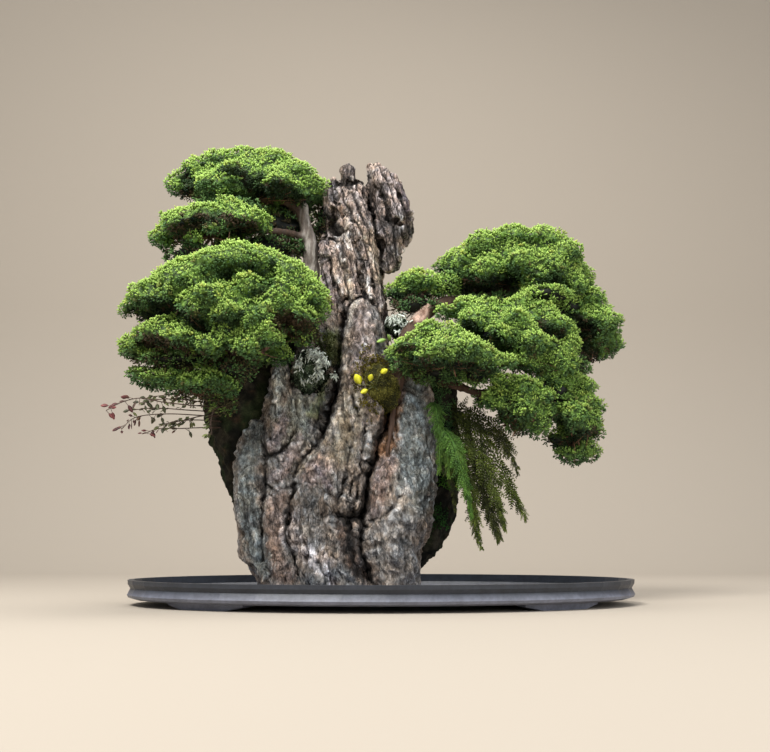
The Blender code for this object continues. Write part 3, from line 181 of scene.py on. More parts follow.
# Cracks and gaps in the stone's front, top or left end first: x, z, half width, depth
CLEFTS = {
    "left_of_fin": (
        (-0.057, 0.458, 0.0022, 0.008), (-0.060, 0.415, 0.0026, 0.012), (-0.064, 0.378, 0.0034, 0.018),
        (-0.069, 0.334, 0.0052, 0.026), (-0.074, 0.293, 0.0058, 0.030), (-0.083, 0.260, 0.0042, 0.022),
        (-0.095, 0.236, 0.0030, 0.014), (-0.112, 0.217, 0.0026, 0.011), (-0.124, 0.200, 0.0022, 0.009),
        (-0.128, 0.183, 0.0018, 0.005),
    ),
    "right_of_fin": (
        (0.018, 0.392, 0.0020, 0.004), (0.019, 0.347, 0.0030, 0.010), (0.012, 0.301, 0.0045, 0.016),
        (0.001, 0.264, 0.0044, 0.020), (-0.007, 0.234, 0.0046, 0.022), (-0.016, 0.201, 0.0050, 0.026),
        (-0.025, 0.173, 0.0046, 0.028), (-0.029, 0.147, 0.0040, 0.028), (-0.028, 0.125, 0.0036, 0.022),
        (-0.033, 0.101, 0.0040, 0.020), (-0.033, 0.077, 0.0040, 0.018), (-0.024, 0.054, 0.0040, 0.014),
        (-0.016, 0.035, 0.0040, 0.010),
    ),
    "over_fin": (
        (-0.055, 0.424, 0.0030, 0.014), (-0.051, 0.440, 0.0032, 0.016), (-0.040, 0.451, 0.0032, 0.016),
        (-0.031, 0.456, 0.0032, 0.016), (-0.021, 0.450, 0.0032, 0.015), (-0.010, 0.438, 0.0030, 0.013),
        (-0.001, 0.424, 0.0028, 0.010), (0.009, 0.410, 0.0025, 0.006),
    ),
    "cavern": (
        (-0.066, 0.128, 0.0040, 0.014), (-0.052, 0.124, 0.0085, 0.030), (-0.039, 0.126, 0.0085, 0.030),
    ),
    "cavern_foot": (
        (-0.047, 0.116, 0.0080, 0.012), (-0.049, 0.097, 0.0070, 0.009), (-0.046, 0.077, 0.0050, 0.007),
        (-0.039, 0.058, 0.0050, 0.008), (-0.030, 0.038, 0.0040, 0.008),
    ),
    "left_foot_gap": (
        (-0.124, 0.171, 0.0030, 0.012), (-0.132, 0.151, 0.0030, 0.014), (-0.138, 0.130, 0.0028, 0.014),
        (-0.140, 0.108, 0.0028, 0.014), (-0.135, 0.087, 0.0028, 0.012), (-0.128, 0.070, 0.0025, 0.010),
        (-0.120, 0.049, 0.0020, 0.006),
    ),
    "left_foot_top": (
        (-0.170, 0.174, 0.0016, 0.006), (-0.156, 0.163, 0.0020, 0.008), (-0.140, 0.169, 0.0018, 0.007),
        (-0.124, 0.165, 0.0022, 0.010),
    ),
    "column_undercut": (
        (-0.168, 0.217, 0.0028, 0.014), (-0.155, 0.216, 0.0034, 0.016), (-0.143, 0.225, 0.0028, 0.014),
        (-0.135, 0.238, 0.0022, 0.009), (-0.127, 0.253, 0.0016, 0.005),
    ),
    "column_inner": (
        (-0.145, 0.268, 0.0018, 0.006), (-0.150, 0.249, 0.0020, 0.008), (-0.162, 0.238, 0.0018, 0.006),
        (-0.165, 0.260, 0.0015, 0.005),
    ),
    "left_slab_edge": (
        (-0.177, 0.272, 0.0030, 0.012), (-0.174, 0.239, 0.0032, 0.015), (-0.170, 0.212, 0.0030, 0.013),
        (-0.172, 0.187, 0.0028, 0.010), (-0.172, 0.158, 0.0026, 0.010), (-0.174, 0.129, 0.0024, 0.009),
        (-0.175, 0.101, 0.0022, 0.008), (-0.169, 0.073, 0.0018, 0.006), (-0.159, 0.044, 0.0018, 0.005),
    ),
    "column_right_edge": (
        (-0.084, 0.377, 0.0020, 0.005), (-0.091, 0.332, 0.0022, 0.007), (-0.094, 0.293, 0.0024, 0.009),
        (-0.099, 0.262, 0.0022, 0.007), (-0.111, 0.238, 0.0020, 0.006), (-0.121, 0.220, 0.0020, 0.005),
    ),
    "fin_slot_1": (
        (-0.046, 0.300, 0.0022, 0.009), (-0.043, 0.286, 0.0025, 0.010), (-0.038, 0.273, 0.0018, 0.006),
    ),
    "fin_slot_2": (
        (-0.025, 0.260, 0.0020, 0.010), (-0.028, 0.241, 0.0026, 0.013), (-0.029, 0.221, 0.0024, 0.012),
        (-0.034, 0.200, 0.0018, 0.008),
    ),
    "fin_slot_3": (
        (-0.034, 0.196, 0.0020, 0.010), (-0.037, 0.171, 0.0024, 0.013), (-0.041, 0.150, 0.0024, 0.013),
        (-0.046, 0.133, 0.0022, 0.011),
    ),
    "fin_slot_4": (
        (-0.047, 0.225, 0.0018, 0.007), (-0.054, 0.193, 0.0020, 0.010), (-0.059, 0.164, 0.0020, 0.010),
        (-0.064, 0.143, 0.0018, 0.008),
    ),
    "fin_slot_5": (
        (-0.043, 0.190, 0.0016, 0.007), (-0.048, 0.162, 0.0020, 0.010), (-0.053, 0.143, 0.0018, 0.008),
    ),
    "under_bulge": (
        (-0.120, 0.171, 0.0014, 0.005), (-0.105, 0.176, 0.0014, 0.004), (-0.090, 0.170, 0.0016, 0.005),
        (-0.076, 0.158, 0.0016, 0.005), (-0.066, 0.143, 0.0018, 0.006),
    ),
    "low_bulge": (
        (-0.093, 0.122, 0.0014, 0.004), (-0.078, 0.129, 0.0020, 0.006), (-0.064, 0.129, 0.0025, 0.010),
    ),
    "slab_step": (
        (-0.025, 0.119, 0.0016, 0.007), (-0.011, 0.124, 0.0018, 0.007), (0.004, 0.130, 0.0020, 0.008),
        (0.015, 0.142, 0.0018, 0.006), (0.026, 0.157, 0.0014, 0.004),
    ),
    "slab_groove_1": (
        (-0.006, 0.186, 0.0011, 0.004), (-0.011, 0.158, 0.0012, 0.005), (-0.013, 0.136, 0.0011, 0.004),
    ),
    "slab_groove_2": (
        (0.007, 0.208, 0.0011, 0.004), (0.001, 0.176, 0.0012, 0.005), (-0.002, 0.150, 0.0011, 0.004),
    ),
    "low_fold_1": (
        (-0.082, 0.077, 0.0014, 0.006), (-0.088, 0.062, 0.0016, 0.007), (-0.083, 0.044, 0.0014, 0.005),
    ),
    "low_fold_2": (
        (-0.070, 0.101, 0.0012, 0.004), (-0.067, 0.073, 0.0014, 0.005), (-0.061, 0.046, 0.0014, 0.005),
    ),
    "foot_crack": (
        (-0.168, 0.087, 0.0012, 0.004), (-0.155, 0.073, 0.0014, 0.005), (-0.143, 0.058, 0.0014, 0.005),
        (-0.140, 0.038, 0.0012, 0.004),
    ),
    "moss_seat": (
        (-0.012, 0.345, 0.0040, 0.002), (-0.004, 0.320, 0.0040, 0.002), (0.000, 0.292, 0.0070, 0.009),
    ),
    "under_knob": (
        (-0.071, 0.646, 0.0030, 0.006), (-0.058, 0.643, 0.0035, 0.007), (-0.046, 0.644, 0.0035, 0.007),
        (-0.035, 0.645, 0.0030, 0.007), (-0.024, 0.647, 0.0030, 0.009),
    ),
    "left_of_block": (
        (-0.026, 0.655, 0.0028, 0.020), (-0.019, 0.630, 0.0026, 0.022), (-0.018, 0.609, 0.0026, 0.022),
        (-0.013, 0.583, 0.0028, 0.022), (-0.007, 0.553, 0.0028, 0.022), (-0.002, 0.532, 0.0028, 0.022),
        (-0.001, 0.507, 0.0024, 0.020), (0.000, 0.477, 0.0020, 0.014), (0.002, 0.454, 0.0016, 0.008),
    ),
    "spire_gap_1": (
        (-0.039, 0.514, 0.0016, 0.008), (-0.036, 0.493, 0.0024, 0.012), (-0.031, 0.474, 0.0026, 0.013),
        (-0.026, 0.447, 0.0022, 0.010),
    ),
    "spire_gap_2": (
        (-0.018, 0.490, 0.0014, 0.007), (-0.015, 0.468, 0.0014, 0.008), (-0.009, 0.446, 0.0012, 0.006),
    ),
    "spire_gap_3": (
        (-0.079, 0.502, 0.0014, 0.006), (-0.071, 0.475, 0.0020, 0.010), (-0.063, 0.451, 0.0022, 0.011),
        (-0.057, 0.433, 0.0020, 0.010),
    ),
    "spire_gap_4": (
        (-0.064, 0.529, 0.0011, 0.005), (-0.057, 0.505, 0.0012, 0.006), (-0.050, 0.484, 0.0011, 0.004),
    ),
    "spire_gap_5": (
        (-0.026, 0.627, 0.0012, 0.005), (-0.023, 0.591, 0.0014, 0.007), (-0.018, 0.554, 0.0012, 0.005),
    ),
    "spire_gap_6": (
        (-0.050, 0.580, 0.0012, 0.005), (-0.047, 0.555, 0.0013, 0.007), (-0.039, 0.534, 0.0014, 0.007),
        (-0.032, 0.512, 0.0012, 0.005),
    ),
    "spire_gap_7": (
        (-0.069, 0.620, 0.0010, 0.004), (-0.064, 0.594, 0.0012, 0.006), (-0.059, 0.565, 0.0011, 0.005),
    ),
    "spire_gap_8": (
        (-0.040, 0.630, 0.0010, 0.004), (-0.036, 0.599, 0.0012, 0.005), (-0.033, 0.573, 0.0011, 0.004),
    ),
    "spire_hollow": (
        (-0.091, 0.599, 0.0060, 0.008), (-0.081, 0.578, 0.0085, 0.013), (-0.072, 0.564, 0.0060, 0.011),
    ),
    "facet_top": (
        (-0.099, 0.560, 0.0022, 0.012), (-0.081, 0.554, 0.0022, 0.012), (-0.064, 0.547, 0.0018, 0.008),
    ),
    "beside_horn": (
        (-0.073, 0.652, 0.0020, 0.010), (-0.071, 0.628, 0.0016, 0.007), (-0.075, 0.605, 0.0012, 0.005),
    ),
    "block_gap_1": (
        (-0.004, 0.641, 0.0014, 0.006), (0.002, 0.618, 0.0018, 0.009), (0.010, 0.589, 0.0016, 0.008),
    ),
    "block_gap_2": (
        (-0.012, 0.615, 0.0011, 0.005), (-0.007, 0.589, 0.0013, 0.007), (-0.001, 0.561, 0.0011, 0.005),
    ),
    "block_gap_3": (
        (0.022, 0.637, 0.0012, 0.005), (0.027, 0.612, 0.0016, 0.008), (0.033, 0.580, 0.0014, 0.007),
    ),
    "block_gap_4": (
        (0.008, 0.556, 0.0012, 0.005), (0.011, 0.533, 0.0014, 0.007), (0.013, 0.512, 0.0012, 0.005),
    ),
    "block_step": (
        (0.005, 0.584, 0.0020, 0.009), (0.017, 0.578, 0.0026, 0.012), (0.030, 0.574, 0.0022, 0.010),
    ),
}
# Parts of the front that stand out: x, z, half width, height
BULGES = {
    "fin_edge": (
        (-0.040, 0.440, 0.0050, 0.002), (-0.051, 0.400, 0.0050, 0.003), (-0.056, 0.340, 0.0050, 0.003),
        (-0.064, 0.280, 0.0060, 0.003), (-0.096, 0.222, 0.0080, 0.004),
    ),
    "fin_bulge": ((-0.105, 0.200, 0.0130, 0.005), (-0.100, 0.180, 0.0140, 0.005)),
    "column": ((-0.152, 0.350, 0.0070, 0.004), (-0.156, 0.290, 0.0080, 0.004)),
    "column_bulb": ((-0.148, 0.262, 0.0090, 0.005), (-0.158, 0.234, 0.0100, 0.008)),
    "column_low": ((-0.128, 0.226, 0.0080, 0.004), (-0.150, 0.186, 0.0090, 0.006)),
    "pale_patch": (
        (-0.131, 0.118, 0.0100, 0.004), (-0.122, 0.088, 0.0110, 0.006), (-0.096, 0.070, 0.0090, 0.004),
    ),
    "slab_face": (
        (0.004, 0.206, 0.0110, 0.004), (-0.006, 0.160, 0.0130, 0.007), (-0.012, 0.137, 0.0080, 0.004),
    ),
    "boulder": ((0.012, 0.098, 0.0220, 0.004), (0.012, 0.070, 0.0200, 0.005)),
}
# Colours laid on the stone's front: colour, half width, strength, then x, z along the stroke
STROKES = (
    ("fin", 0.020, 0.8, (-0.033, 0.430), (-0.028, 0.398), (-0.030, 0.350), (-0.042, 0.300)),
    ("tan", 0.020, 0.7, (-0.044, 0.300), (-0.055, 0.251), (-0.060, 0.215)),
    ("pink", 0.016, 0.7, (-0.103, 0.206), (-0.105, 0.182), (-0.088, 0.193)),
    ("purple", 0.006, 0.7, (-0.094, 0.193), (-0.076, 0.168)),
    # Dark under the fin's bulge, above the cavern: painted shade
    ("dark", 0.012, 0.5, (-0.108, 0.148), (-0.083, 0.139), (-0.062, 0.129)),
    ("pale_column", 0.009, 0.8, (-0.152, 0.357), (-0.155, 0.320), (-0.157, 0.294), (-0.159, 0.274)),
    ("green_grey", 0.020, 0.8, (-0.122, 0.295), (-0.125, 0.268), (-0.125, 0.241)),
    ("pale", 0.004, 0.6, (-0.100, 0.298), (-0.102, 0.272), (-0.108, 0.250)),
    ("pink_grey", 0.010, 0.8, (-0.147, 0.265), (-0.153, 0.246), (-0.163, 0.226)),
    ("pink_grey", 0.010, 0.7, (-0.121, 0.237), (-0.135, 0.212), (-0.146, 0.187), (-0.161, 0.183)),
    ("umber", 0.017, 0.8, (-0.148, 0.151), (-0.157, 0.122), (-0.153, 0.094), (-0.158, 0.066),
     (-0.137, 0.044)),
    ("slab", 0.017, 0.9, (-0.190, 0.257), (-0.197, 0.209), (-0.194, 0.151), (-0.188, 0.101), (-0.173, 0.059)),
    ("slab", 0.030, 0.9, (0.041, 0.330), (0.041, 0.298), (0.044, 0.253), (0.046, 0.208), (0.046, 0.150)),
    ("pink", 0.015, 0.8, (0.004, 0.206), (-0.005, 0.165), (-0.011, 0.139)),
    ("boulder", 0.036, 0.7, (0.023, 0.122), (0.006, 0.087), (0.020, 0.059)),
    ("pale", 0.007, 0.6, (0.035, 0.162), (0.021, 0.139), (0.001, 0.115), (-0.015, 0.087)),
    ("rust", 0.014, 0.9, (0.016, 0.300), (0.010, 0.266), (0.008, 0.238), (-0.002, 0.222)),
    ("umber", 0.008, 0.9, (0.025, 0.356), (0.029, 0.330), (0.024, 0.299)),
    ("rust_dark", 0.015, 0.9, (-0.054, 0.108), (-0.047, 0.083), (-0.043, 0.066), (-0.026, 0.049)),
    ("face", 0.026, 0.8, (-0.047, 0.611), (-0.038, 0.569), (-0.026, 0.522), (-0.013, 0.477)),
    ("facet", 0.015, 0.8, (-0.083, 0.540), (-0.078, 0.510), (-0.066, 0.470)),
    ("purple", 0.005, 0.8, (-0.090, 0.500), (-0.080, 0.471), (-0.070, 0.452)),
    ("tan_pale", 0.007, 0.8, (-0.059, 0.515), (-0.054, 0.484), (-0.050, 0.455)),
    ("block", 0.016, 0.8, (-0.010, 0.632), (0.000, 0.572), (0.005, 0.533)),
    ("block_pale", 0.009, 0.8, (-0.010, 0.655), (0.010, 0.639), (0.017, 0.611), (0.022, 0.585)),
    ("purple", 0.007, 0.9, (0.030, 0.641), (0.037, 0.603), (0.041, 0.584)),
    # The next four dark strokes lie under the block's step, beside its lower gap, in the spire's hollow and
    # under the knob: painted shade
    ("dark", 0.013, 0.9, (0.012, 0.577), (0.027, 0.561), (0.041, 0.566)),
    ("dark", 0.009, 0.8, (0.020, 0.548), (0.018, 0.508)),
    ("dark", 0.014, 0.9, (-0.094, 0.599), (-0.081, 0.576), (-0.074, 0.566)),
    ("dark", 0.009, 0.9, (-0.070, 0.650), (-0.054, 0.650), (-0.034, 0.650)),
    ("knob", 0.014, 0.9, (-0.054, 0.674), (-0.054, 0.668)),
    ("knob", 0.009, 0.9, (-0.079, 0.644), (-0.077, 0.621)),
    ("crest", 0.0045, 0.9, (-0.040, 0.443), (-0.049, 0.424), (-0.052, 0.398), (-0.055, 0.367),
     (-0.057, 0.326), (-0.062, 0.295), (-0.067, 0.269), (-0.079, 0.242), (-0.096, 0.225), (-0.115, 0.207),
     (-0.125, 0.189)),
    ("pale_patch", 0.013, 0.9, (-0.132, 0.123), (-0.131, 0.100), (-0.120, 0.083), (-0.102, 0.072),
     (-0.086, 0.064)),
    ("pale_patch", 0.006, 0.9, (-0.086, 0.061), (-0.078, 0.047), (-0.072, 0.033)),
    ("grey", 0.006, 0.9, (-0.025, 0.350), (-0.021, 0.344)),
    ("pink_grey", 0.013, 0.8, (-0.094, 0.548), (-0.090, 0.500), (-0.084, 0.462)),
    ("quartz", 0.0040, 0.8, (-0.072, 0.556), (-0.069, 0.545)),
    ("rust", 0.0040, 0.5, (-0.062, 0.600), (-0.060, 0.590)),
    ("tan_pale", 0.010, 0.7, (-0.020, 0.555), (-0.010, 0.520), (-0.006, 0.480)),
    ("quartz", 0.0040, 0.8, (0.024, 0.585), (0.028, 0.572)),
    ("quartz", 0.0055, 1.0, (-0.055, 0.578), (-0.056, 0.554), (-0.049, 0.538)),
    ("quartz", 0.0035, 0.8, (-0.072, 0.549), (-0.064, 0.532), (-0.059, 0.512)),
    ("quartz", 0.0035, 0.8, (-0.024, 0.490), (-0.021, 0.459)),
    ("quartz", 0.0030, 0.7, (0.005, 0.519), (0.010, 0.508)),
    ("spot", 0.0040, 0.9, (-0.024, 0.388), (-0.024, 0.387)),
    ("spot", 0.0030, 0.9, (-0.027, 0.376), (-0.027, 0.375)),
    ("spot", 0.0035, 0.8, (-0.044, 0.267), (-0.044, 0.266)),
    ("spot", 0.0035, 0.8, (-0.027, 0.263), (-0.026, 0.262)),
    ("spot", 0.0035, 0.9, (-0.028, 0.210), (-0.027, 0.209)),
)
# Pale moss, quartz and pale streaks, laid after the painted shade so that they show even in the hollows;
# the pale moss is lighter than its own colour, as painted light where the pads shade it
LATE_STROKES = (
    ("moss_pale", 0.010, 0.9, (-0.078, 0.404), (-0.076, 0.386), (-0.072, 0.364)),
    ("quartz", 0.0080, 0.8, (-0.084, 0.446), (-0.080, 0.428), (-0.076, 0.412)),
    ("moss_pale", 0.007, 0.5, (-0.090, 0.330), (-0.094, 0.304), (-0.104, 0.276)),
    ("pale_column", 0.006, 0.6, (-0.147, 0.362), (-0.150, 0.338), (-0.148, 0.312)),
    ("quartz", 0.0040, 0.7, (-0.053, 0.574), (-0.054, 0.552), (-0.048, 0.538)),
    ("pale", 0.004, 0.6, (-0.038, 0.442), (-0.050, 0.420), (-0.054, 0.385), (-0.057, 0.335)),
)
# Share of the usual light on each pad, where it differs
PAD_LIGHT = {
    "pad_left_under": 0.62,
    "pad_right_low": 0.88,
    "pad_right_tip": 0.85,
    "pad_right_flank": 0.90,
    "pad_left": 1.12,
    "pad_right_top": 1.22,
    "pad_right_middle": 1.08,
    "pad_right_inner": 1.45,
    "pad_right_front": 1.08,
}

# Folds between the clumps of a pad, as seen from the front: half width, depth, share of painted shade,
# share of brown, then x, z spots
FOLDS = {
    "pad_top": (
        (0.0061, 0.009, 0.90, 0.0, (-0.246, 0.650), (-0.218, 0.643), (-0.200, 0.637), (-0.185, 0.644)),
        (0.0110, 0.014, 1.00, 0.2, (-0.215, 0.647), (-0.204, 0.627), (-0.185, 0.615), (-0.157, 0.618),
         (-0.129, 0.607)),
        (0.0093, 0.010, 0.90, 0.1, (-0.310, 0.657), (-0.300, 0.636), (-0.315, 0.618)),
        (0.0047, 0.006, 0.52, 0.0, (-0.282, 0.674), (-0.262, 0.677), (-0.244, 0.676)),
    ),
    "pad_upper_left": (
        (0.0103, 0.010, 0.90, 0.6, (-0.305, 0.538), (-0.270, 0.554), (-0.234, 0.557), (-0.204, 0.548),
         (-0.179, 0.536)),
        (0.0044, 0.006, 0.45, 0.3, (-0.238, 0.569), (-0.224, 0.572)),
        (0.0044, 0.005, 0.39, 0.0, (-0.275, 0.569), (-0.263, 0.554)),
    ),
    "pad_left": (
        (0.0062, 0.012, 1.00, 0.1, (-0.361, 0.412), (-0.340, 0.399), (-0.320, 0.412), (-0.296, 0.413),
         (-0.285, 0.399), (-0.262, 0.388), (-0.245, 0.378)),
        (0.0056, 0.009, 0.52, 0.0, (-0.262, 0.436), (-0.253, 0.449), (-0.232, 0.452), (-0.218, 0.458),
         (-0.199, 0.465), (-0.180, 0.469), (-0.166, 0.458), (-0.157, 0.444)),
        (0.0141, 0.014, 0.52, 0.9, (-0.137, 0.384), (-0.115, 0.379), (-0.093, 0.371)),
        (0.0041, 0.007, 0.45, 0.0, (-0.244, 0.396), (-0.224, 0.389), (-0.210, 0.382), (-0.198, 0.395),
         (-0.186, 0.405), (-0.168, 0.405)),
        (0.0049, 0.007, 0.45, 0.0, (-0.157, 0.478), (-0.153, 0.452), (-0.171, 0.436), (-0.189, 0.427)),
        (0.0042, 0.007, 0.45, 0.0, (-0.116, 0.445), (-0.110, 0.428), (-0.094, 0.418)),
        (0.0072, 0.009, 0.52, 0.8, (-0.344, 0.366), (-0.317, 0.362), (-0.286, 0.350), (-0.255, 0.341)),
        (0.0042, 0.006, 0.45, 0.0, (-0.315, 0.444), (-0.326, 0.434), (-0.328, 0.425)),
        (0.0041, 0.006, 0.39, 0.0, (-0.169, 0.390), (-0.158, 0.396), (-0.142, 0.390)),
        (0.0041, 0.006, 0.39, 0.0, (-0.268, 0.423), (-0.276, 0.413), (-0.273, 0.400)),
    ),
    "pad_left_under": (
        (0.0071, 0.006, 0.39, 0.5, (-0.346, 0.344), (-0.311, 0.341), (-0.278, 0.333)),
    ),
    "pad_right_inner": (
        (0.0077, 0.007, 1.00, 0.0, (0.015, 0.459), (0.046, 0.454), (0.089, 0.456)),
    ),
    "pad_right_top": (
        (0.0046, 0.006, 0.52, 0.0, (0.180, 0.536), (0.187, 0.525)),
        (0.0095, 0.012, 0.95, 0.2, (0.098, 0.484), (0.119, 0.479), (0.148, 0.476), (0.179, 0.475),
         (0.196, 0.478)),
        (0.0060, 0.008, 0.45, 0.0, (0.204, 0.493), (0.228, 0.487), (0.251, 0.474), (0.270, 0.482)),
        (0.0062, 0.005, 0.33, 0.0, (0.096, 0.517), (0.112, 0.506), (0.135, 0.514)),
        (0.0046, 0.005, 0.33, 0.0, (0.271, 0.514), (0.286, 0.493)),
        (0.0045, 0.005, 0.33, 0.0, (0.246, 0.502), (0.251, 0.490), (0.238, 0.480)),
    ),
    "pad_right_flank": (
        (0.0171, 0.014, 1.00, 0.3, (0.271, 0.433), (0.296, 0.420), (0.317, 0.401), (0.311, 0.382)),
        (0.0111, 0.009, 0.90, 0.4, (0.314, 0.365), (0.333, 0.369)),
    ),
    "pad_right_middle": (
        (0.0073, 0.012, 1.00, 0.0, (0.115, 0.403), (0.134, 0.396), (0.149, 0.382), (0.165, 0.376)),
        (0.0058, 0.008, 0.45, 0.0, (0.183, 0.366), (0.200, 0.342), (0.210, 0.325)),
        (0.0044, 0.007, 0.52, 0.0, (0.170, 0.444), (0.177, 0.426)),
        (0.0080, 0.010, 0.90, 0.3, (0.231, 0.406), (0.250, 0.396), (0.268, 0.392)),
        (0.0043, 0.006, 0.39, 0.0, (0.157, 0.406), (0.168, 0.391)),
        (0.0044, 0.005, 0.39, 0.0, (0.207, 0.365), (0.221, 0.353)),
        (0.0045, 0.005, 0.33, 0.0, (0.227, 0.448), (0.235, 0.431)),
    ),
    "pad_right_front": (
        (0.0114, 0.012, 1.00, 0.2, (0.037, 0.330), (0.080, 0.322), (0.123, 0.322), (0.156, 0.316)),
        (0.0057, 0.006, 0.45, 0.2, (0.022, 0.357), (0.042, 0.357)),
        (0.0042, 0.005, 0.33, 0.0, (0.089, 0.357), (0.098, 0.345)),
    ),
    "pad_right_low": (
        (0.0059, 0.008, 0.39, 0.0, (0.240, 0.324), (0.248, 0.297), (0.253, 0.268), (0.262, 0.244)),
        (0.0058, 0.006, 0.33, 0.1, (0.176, 0.293), (0.189, 0.279), (0.211, 0.286)),
        (0.0074, 0.006, 0.45, 0.4, (0.174, 0.273), (0.192, 0.255), (0.203, 0.243)),
    ),
    "pad_right_tip": (
        (0.0090, 0.010, 0.90, 0.2, (0.244, 0.238), (0.274, 0.232), (0.295, 0.240), (0.313, 0.246)),
        (0.0060, 0.008, 0.33, 0.0, (0.252, 0.330), (0.259, 0.304), (0.264, 0.273), (0.273, 0.250)),
        (0.0044, 0.005, 0.33, 0.0, (0.278, 0.298), (0.293, 0.283)),
    ),
}

# Fern fronds: points along the midrib, and the half width
FRONDS = {
    "fern_frond_1": (
        ((0.098, -0.024, 0.290), (0.144, -0.045, 0.250), (0.181, -0.050, 0.184), (0.210, -0.048, 0.122)),
        0.029,
    ),
    "fern_frond_2": (
        ((0.098, -0.006, 0.296), (0.144, -0.002, 0.284), (0.184, 0.002, 0.250), (0.206, 0.002, 0.194)),
        0.025,
    ),
    "fern_frond_3": (
        ((0.090, -0.034, 0.260), (0.131, -0.074, 0.224), (0.158, -0.084, 0.170), (0.174, -0.082, 0.108)),
        0.026,
    ),
    "fern_frond_4": (
        ((0.094, -0.006, 0.256), (0.131, -0.024, 0.214), (0.153, -0.028, 0.154), (0.171, -0.026, 0.090)),
        0.026,
    ),
    "fern_frond_5": (
        ((0.086, -0.034, 0.224), (0.111, -0.092, 0.194), (0.126, -0.106, 0.144), (0.136, -0.108, 0.084)),
        0.022,
    ),
    "fern_frond_6": (
        ((0.082, -0.040, 0.262), (0.096, -0.106, 0.236), (0.109, -0.122, 0.188), (0.122, -0.126, 0.126)),
        0.023,
    ),
    "fern_frond_7": (
        ((0.068, -0.030, 0.300), (0.076, -0.072, 0.286), (0.080, -0.082, 0.252), (0.084, -0.088, 0.208)),
        0.016,
    ),
}
# Small dark fronds round them, with no node of their own
LOOSE_FRONDS = (
    (((0.092, -0.012, 0.290), (0.112, -0.030, 0.276), (0.128, -0.036, 0.252), (0.136, -0.038, 0.224)), 0.015),
    (((0.0890, -0.0235, 0.2365), (0.110, -0.052, 0.226), (0.122, -0.060, 0.200),
      (0.128, -0.062, 0.168)), 0.015),
    (((0.0825, -0.0275, 0.2070), (0.096, -0.060, 0.190), (0.102, -0.066, 0.164),
      (0.104, -0.066, 0.138)), 0.012),
    (((0.1230, -0.0360, 0.2710), (0.152, -0.040, 0.256), (0.174, -0.046, 0.240),
      (0.199, -0.050, 0.200)), 0.018),
    (((0.1440, -0.0450, 0.2500), (0.150, -0.062, 0.196), (0.166, -0.066, 0.142),
      (0.175, -0.066, 0.112)), 0.020),
    (((0.1275, -0.0710, 0.2280), (0.144, -0.070, 0.160), (0.158, -0.074, 0.122),
      (0.168, -0.074, 0.096)), 0.018),
    (((0.0950, -0.0560, 0.2140), (0.122, -0.080, 0.170), (0.128, -0.086, 0.126),
      (0.134, -0.086, 0.092)), 0.016),
    (((0.102, -0.010, 0.296), (0.122, -0.026, 0.268), (0.130, -0.032, 0.240), (0.138, -0.034, 0.206)), 0.018),
)
# Small bright fronds beside the bright ones
BRIGHT_FRONDS = (
    (((0.0811, -0.0839, 0.2406), (0.088, -0.104, 0.226), (0.090, -0.112, 0.206),
      (0.091, -0.114, 0.184)), 0.013),
    (((0.0910, -0.0866, 0.2467), (0.100, -0.112, 0.228), (0.110, -0.118, 0.208),
      (0.114, -0.120, 0.186)), 0.013),
    (((0.0815, -0.0845, 0.2360), (0.080, -0.096, 0.220), (0.079, -0.102, 0.204),
      (0.078, -0.104, 0.190)), 0.010),
)

# Trailing stems: points along each, leaf count and half length
CREEPERS = {
    "creeper_stem_1": (
        ((-0.236, 0.000, 0.292), (-0.270, -0.095, 0.284), (-0.306, -0.140, 0.283),
         (-0.333, -0.160, 0.286), (-0.354, -0.175, 0.279), (-0.374, -0.186, 0.266)), 18, 0.0047,
    ),
    "creeper_stem_2": (
        ((-0.238, 0.000, 0.278), (-0.268, -0.078, 0.272), (-0.300, -0.112, 0.270),
         (-0.330, -0.132, 0.266), (-0.348, -0.144, 0.259), (-0.360, -0.152, 0.244)), 18, 0.0047,
    ),
    "creeper_stem_3": (
        ((-0.234, 0.000, 0.262), (-0.262, -0.060, 0.256), (-0.290, -0.086, 0.252),
         (-0.318, -0.104, 0.250), (-0.336, -0.114, 0.242)), 15, 0.0038,
    ),
    "creeper_stem_4": (
        ((-0.215, -0.006, 0.284), (-0.226, -0.066, 0.286), (-0.242, -0.088, 0.280),
         (-0.246, -0.098, 0.262), (-0.244, -0.102, 0.242)), 16, 0.0044,
    ),
}

# Thin stems among them with no node of their own
LOOSE_STEMS = (
    ((-0.236, -0.010, 0.290), (-0.275, -0.080, 0.293), (-0.310, -0.120, 0.290), (-0.335, -0.140, 0.282)),
    ((-0.236, -0.010, 0.284), (-0.280, -0.090, 0.278), (-0.320, -0.130, 0.276), (-0.352, -0.150, 0.270)),
    ((-0.236, -0.010, 0.270), (-0.268, -0.070, 0.266), (-0.295, -0.100, 0.261), (-0.312, -0.110, 0.254)),
    ((-0.230, -0.010, 0.296), (-0.260, -0.070, 0.300), (-0.290, -0.100, 0.300), (-0.322, -0.120, 0.294)),
    ((-0.234, -0.010, 0.280), (-0.262, -0.070, 0.272), (-0.286, -0.094, 0.262), (-0.300, -0.104, 0.250)),
)

# Seedling: how its leaves face, where its stem starts and forks, then each leaf as x, y, z, half
# length, turn in degrees
LEAF_FACING = (0.1, -1.0, 0.35)
SEEDLING_ROOT = (0.002, -0.082, 0.302)
SEEDLING_FORK = (-0.012, -0.098, 0.310)
SEEDLING_LEAVES = (
    (-0.037, -0.107, 0.322, 0.0095, 115.0),
    (-0.028, -0.110, 0.304, 0.0060, 200.0),
    (-0.019, -0.108, 0.324, 0.0062, 75.0),
    (0.000, -0.110, 0.333, 0.0066, 35.0),
)

